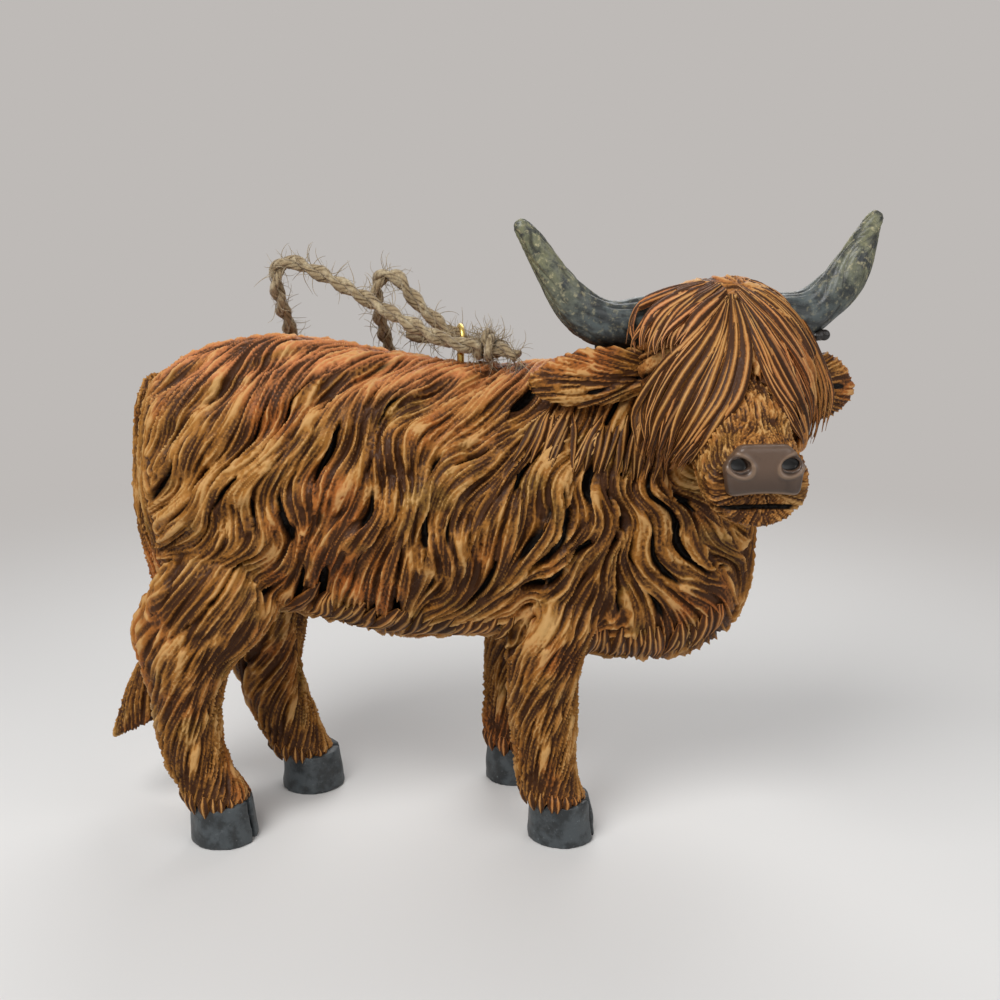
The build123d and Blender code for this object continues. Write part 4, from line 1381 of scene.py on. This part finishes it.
def makeFuzzTree():
    inputs = (("Line", "NodeSocketGeometry"), ("Fibre", "NodeSocketObject"), ("Shortest", "NodeSocketFloat"),
              ("Longest", "NodeSocketFloat"), ("Seed", "NodeSocketInt"), ("Finish", "NodeSocketMaterial"))
    tree, entry, leave = newGroup("looseFibres", inputs, [("Fuzz", "NodeSocketGeometry")], "GeometryNodeTree")
    given = entry.outputs
    dots = addNode(tree, "GeometryNodeMeshToPoints", Mesh=given["Line"])
    fibre = addNode(tree, "GeometryNodeObjectInfo", Object=given["Fibre"])
    spin = addNode(tree, "FunctionNodeRandomValue", {"data_type": "FLOAT_VECTOR"}, Seed=given["Seed"],
                   i1=(fullTurn, fullTurn, fullTurn))
    grow = addNode(tree, "FunctionNodeRandomValue", {"data_type": "FLOAT"}, i2=given["Shortest"],
                   i3=given["Longest"], Seed=given["Seed"])
    turned = addNode(tree, "FunctionNodeEulerToRotation", Euler=spin.outputs[0])
    put = addNode(tree, "GeometryNodeInstanceOnPoints", Points=dots.outputs[0],
                  Instance=fibre.outputs["Geometry"], Rotation=turned.outputs[0], Scale=grow.outputs[1])
    endTree(tree, put.outputs[0], given["Finish"], leave)
    return tree


fuzzTree = makeFuzzTree()


def fibreObject():
    # One curled fibre, one millimetre long
    share = np.linspace(0, 1, 7)
    line = np.stack((share, 0.22 * np.sin(share * 2.6), 0.16 * (1 - np.cos(share * 3.4))), 1)
    side, over = carriedFrame(line)
    thin = 0.022 * (1 - 0.7 * share)
    angles = np.array((0, 2.1, 4.2))
    ring = line[:, None, :] + stepOut(side[:, None, :], over[:, None, :], angles, thin[:, None])
    ends = ((0, 2, 1), (18, 19, 20))
    return linkObject("fibre", meshOf(ring.reshape(-1, 3), tubeFaces(7, 3, 0), ends))


def addFuzz(name, line, sizes, seed):
    rng = np.random.default_rng(seed)
    count, (shortest, longest) = sizes["fibres"], sizes["fibreLengths"]
    spots = line[rng.integers(0, len(line), count)] + rng.normal(0, 0.42, (count, 3))
    mesh = bpy.data.meshes.new("spots")
    mesh.from_pydata([tuple(p) for p in spots], [], [])
    fibre = fibreObject()
    inputs = {"Fibre": fibre, "Shortest": shortest, "Longest": longest, "Seed": seed, "Finish": twineMaterial}
    fuzz = grown("fuzz", mesh, fuzzTree, inputs)
    bpy.data.objects.remove(fibre)
    markPaint(fuzz, ridge=np.full(len(fuzz.vertices), 0.9))
    return settle(finishMesh(fuzz, name, readMesh(fuzz)[0], twineMaterial), "twine")


def cordPiece(name, lines, sizes, node):
    points, faces, ridges, start = [], [], [], 0
    for line in lines:
        for ring, ridge in twistedPlies(line, sizes):
            points.append(ring.reshape(-1, 3))
            faces.append(tubeFaces(len(ring), sizes["ring"], start))
            ridges.append(ridge.ravel())
            start += ridge.size
    mesh = meshOf(np.vstack(points), np.vstack(faces))
    markPaint(mesh, ridge=np.concatenate(ridges))
    return settle(finishMesh(mesh, name, np.vstack(points), twineMaterial), "twine", node)


def knotTurns(sizes):
    # A short coil round the way that the knot lies
    axis = unit(np.array(sizes["way"]))
    side = unit(np.cross(axis, (0.1, 0.2, 1.0)))
    over = np.cross(axis, side)
    radius = sizes["radius"]
    angle = np.linspace(0, 2 * math.pi * sizes["turns"], int(30 * sizes["turns"]))
    advance = axis * ((angle / angle[-1] - 0.5) * sizes["advance"])[:, None]
    coil = np.array(sizes["heart"]) + side * np.cos(angle)[:, None] * radius
    return coil + over * np.sin(angle)[:, None] * radius + advance


def buildTwine(sizes, knotSizes):
    line, length = evenPoints(loopRoute, sizes["step"])
    loose, _ = evenPoints(looseEnd, sizes["step"])
    short, _ = evenPoints(shortEnd, sizes["step"])
    wrap = knotTurns(knotSizes)
    strands = cordPiece("twine_plies", [line], sizes, "twine_loop")
    knot = cordPiece("twine_knot_turns", [loose, short, wrap], {**sizes, **knotSizes}, "twine_knot")
    fuzz = addFuzz("twine_fibres", line, sizes, 3)
    frayed = addFuzz("frayed_end_fibres", np.vstack((short[-6:], short[-3:], wrap, loose)), knotSizes, 4)
    print("twine length", round(length, 1))
    tuple(toFrame(line[0]))
    toFrame(line).tolist()


buildTwine(twineSizes, knotSizes)
print("twine tied")


# Floor, wall and lamps
studio = {
    "floor": colour(222, 221, 219), "roughness": 0.6, "specular": 0.3, "reach": 3000.0,
    "fadeStart": 75.0, "fadeEnd": 320.0,
    "wall": colour(190, 186, 183), "daylight": colour(235, 235, 238), "skyStrength": 0.34,
}
lamps = {
    "keyLamp": {"place": (-140, -220, 330), "size": 0.22, "power": 1.15},
    "fillLamp": {"place": (260, -220, 200), "size": 0.30, "power": 0.35},
    "backLamp": {"place": (40, 260, 300), "size": 0.30, "power": 0.55},
}


def makeFloorMaterial(setup):
    # Pale floor that fades into the wall behind the cow, and keeps its shadow
    material, tree, shader, place = newMaterial("paleFloor", setup)
    shader.inputs["Base Color"].default_value = setup["floor"]
    far = addNode(tree, "ShaderNodeVectorMath", {"operation": "LENGTH"}, i0=place)
    fade = rangeNode(tree, far.outputs["Value"], setup["fadeStart"] * mmScale, setup["fadeEnd"] * mmScale)
    seen = tree.nodes.new("ShaderNodeLightPath")
    wall = addNode(tree, "ShaderNodeEmission", Color=setup["wall"], Strength=1.0)
    share = mathNode(tree, "MULTIPLY", fade, seen.outputs["Is Camera Ray"])
    mix = addNode(tree, "ShaderNodeMixShader", i0=share, i1=shader.outputs[0], i2=wall.outputs[0])
    tree.links.new(mix.outputs[0], tree.nodes["Material Output"].inputs[0])
    return material


def makeStudio(setup):
    corners = np.array(((-1, -1, 0), (1, -1, 0), (1, 1, 0), (-1, 1, 0))) * setup["reach"]
    finishMesh(meshOf(corners, [(0, 1, 2, 3)]), "floor", corners, makeFloorMaterial(setup))
    world = bpy.data.worlds.new("softRoom")
    scene.world = world
    world.use_nodes = True
    tree = world.node_tree
    light = tree.nodes["Background"]
    light.inputs[0].default_value = setup["daylight"]
    light.inputs[1].default_value = setup["skyStrength"]
    seen = addNode(tree, "ShaderNodeBackground", Color=setup["wall"], Strength=1.0)
    path = tree.nodes.new("ShaderNodeLightPath")
    either = mathNode(tree, "MAXIMUM", path.outputs["Is Camera Ray"], path.outputs["Is Glossy Ray"])
    mix = addNode(tree, "ShaderNodeMixShader", i0=either, i1=light.outputs[0], i2=seen.outputs[0])
    tree.links.new(mix.outputs[0], tree.nodes["World Output"].inputs[0])


def addLamps(setup, target):
    for name, lamp in setup.items():
        data = bpy.data.lights.new(name, "AREA")
        data.shape = "DISK"
        data.size = lamp["size"]
        data.energy = lamp["power"]
        piece = linkObject(name, data)
        piece.location = toFrame(lamp["place"])
        aim = Vector(toFrame(target)) - piece.location
        piece.rotation_euler = aim.to_track_quat("-Z", "Y").to_euler()


makeStudio(studio)
addLamps(lamps, (0, 0, 50))
print("studio lit")
scene.view_settings.view_transform = "Standard"
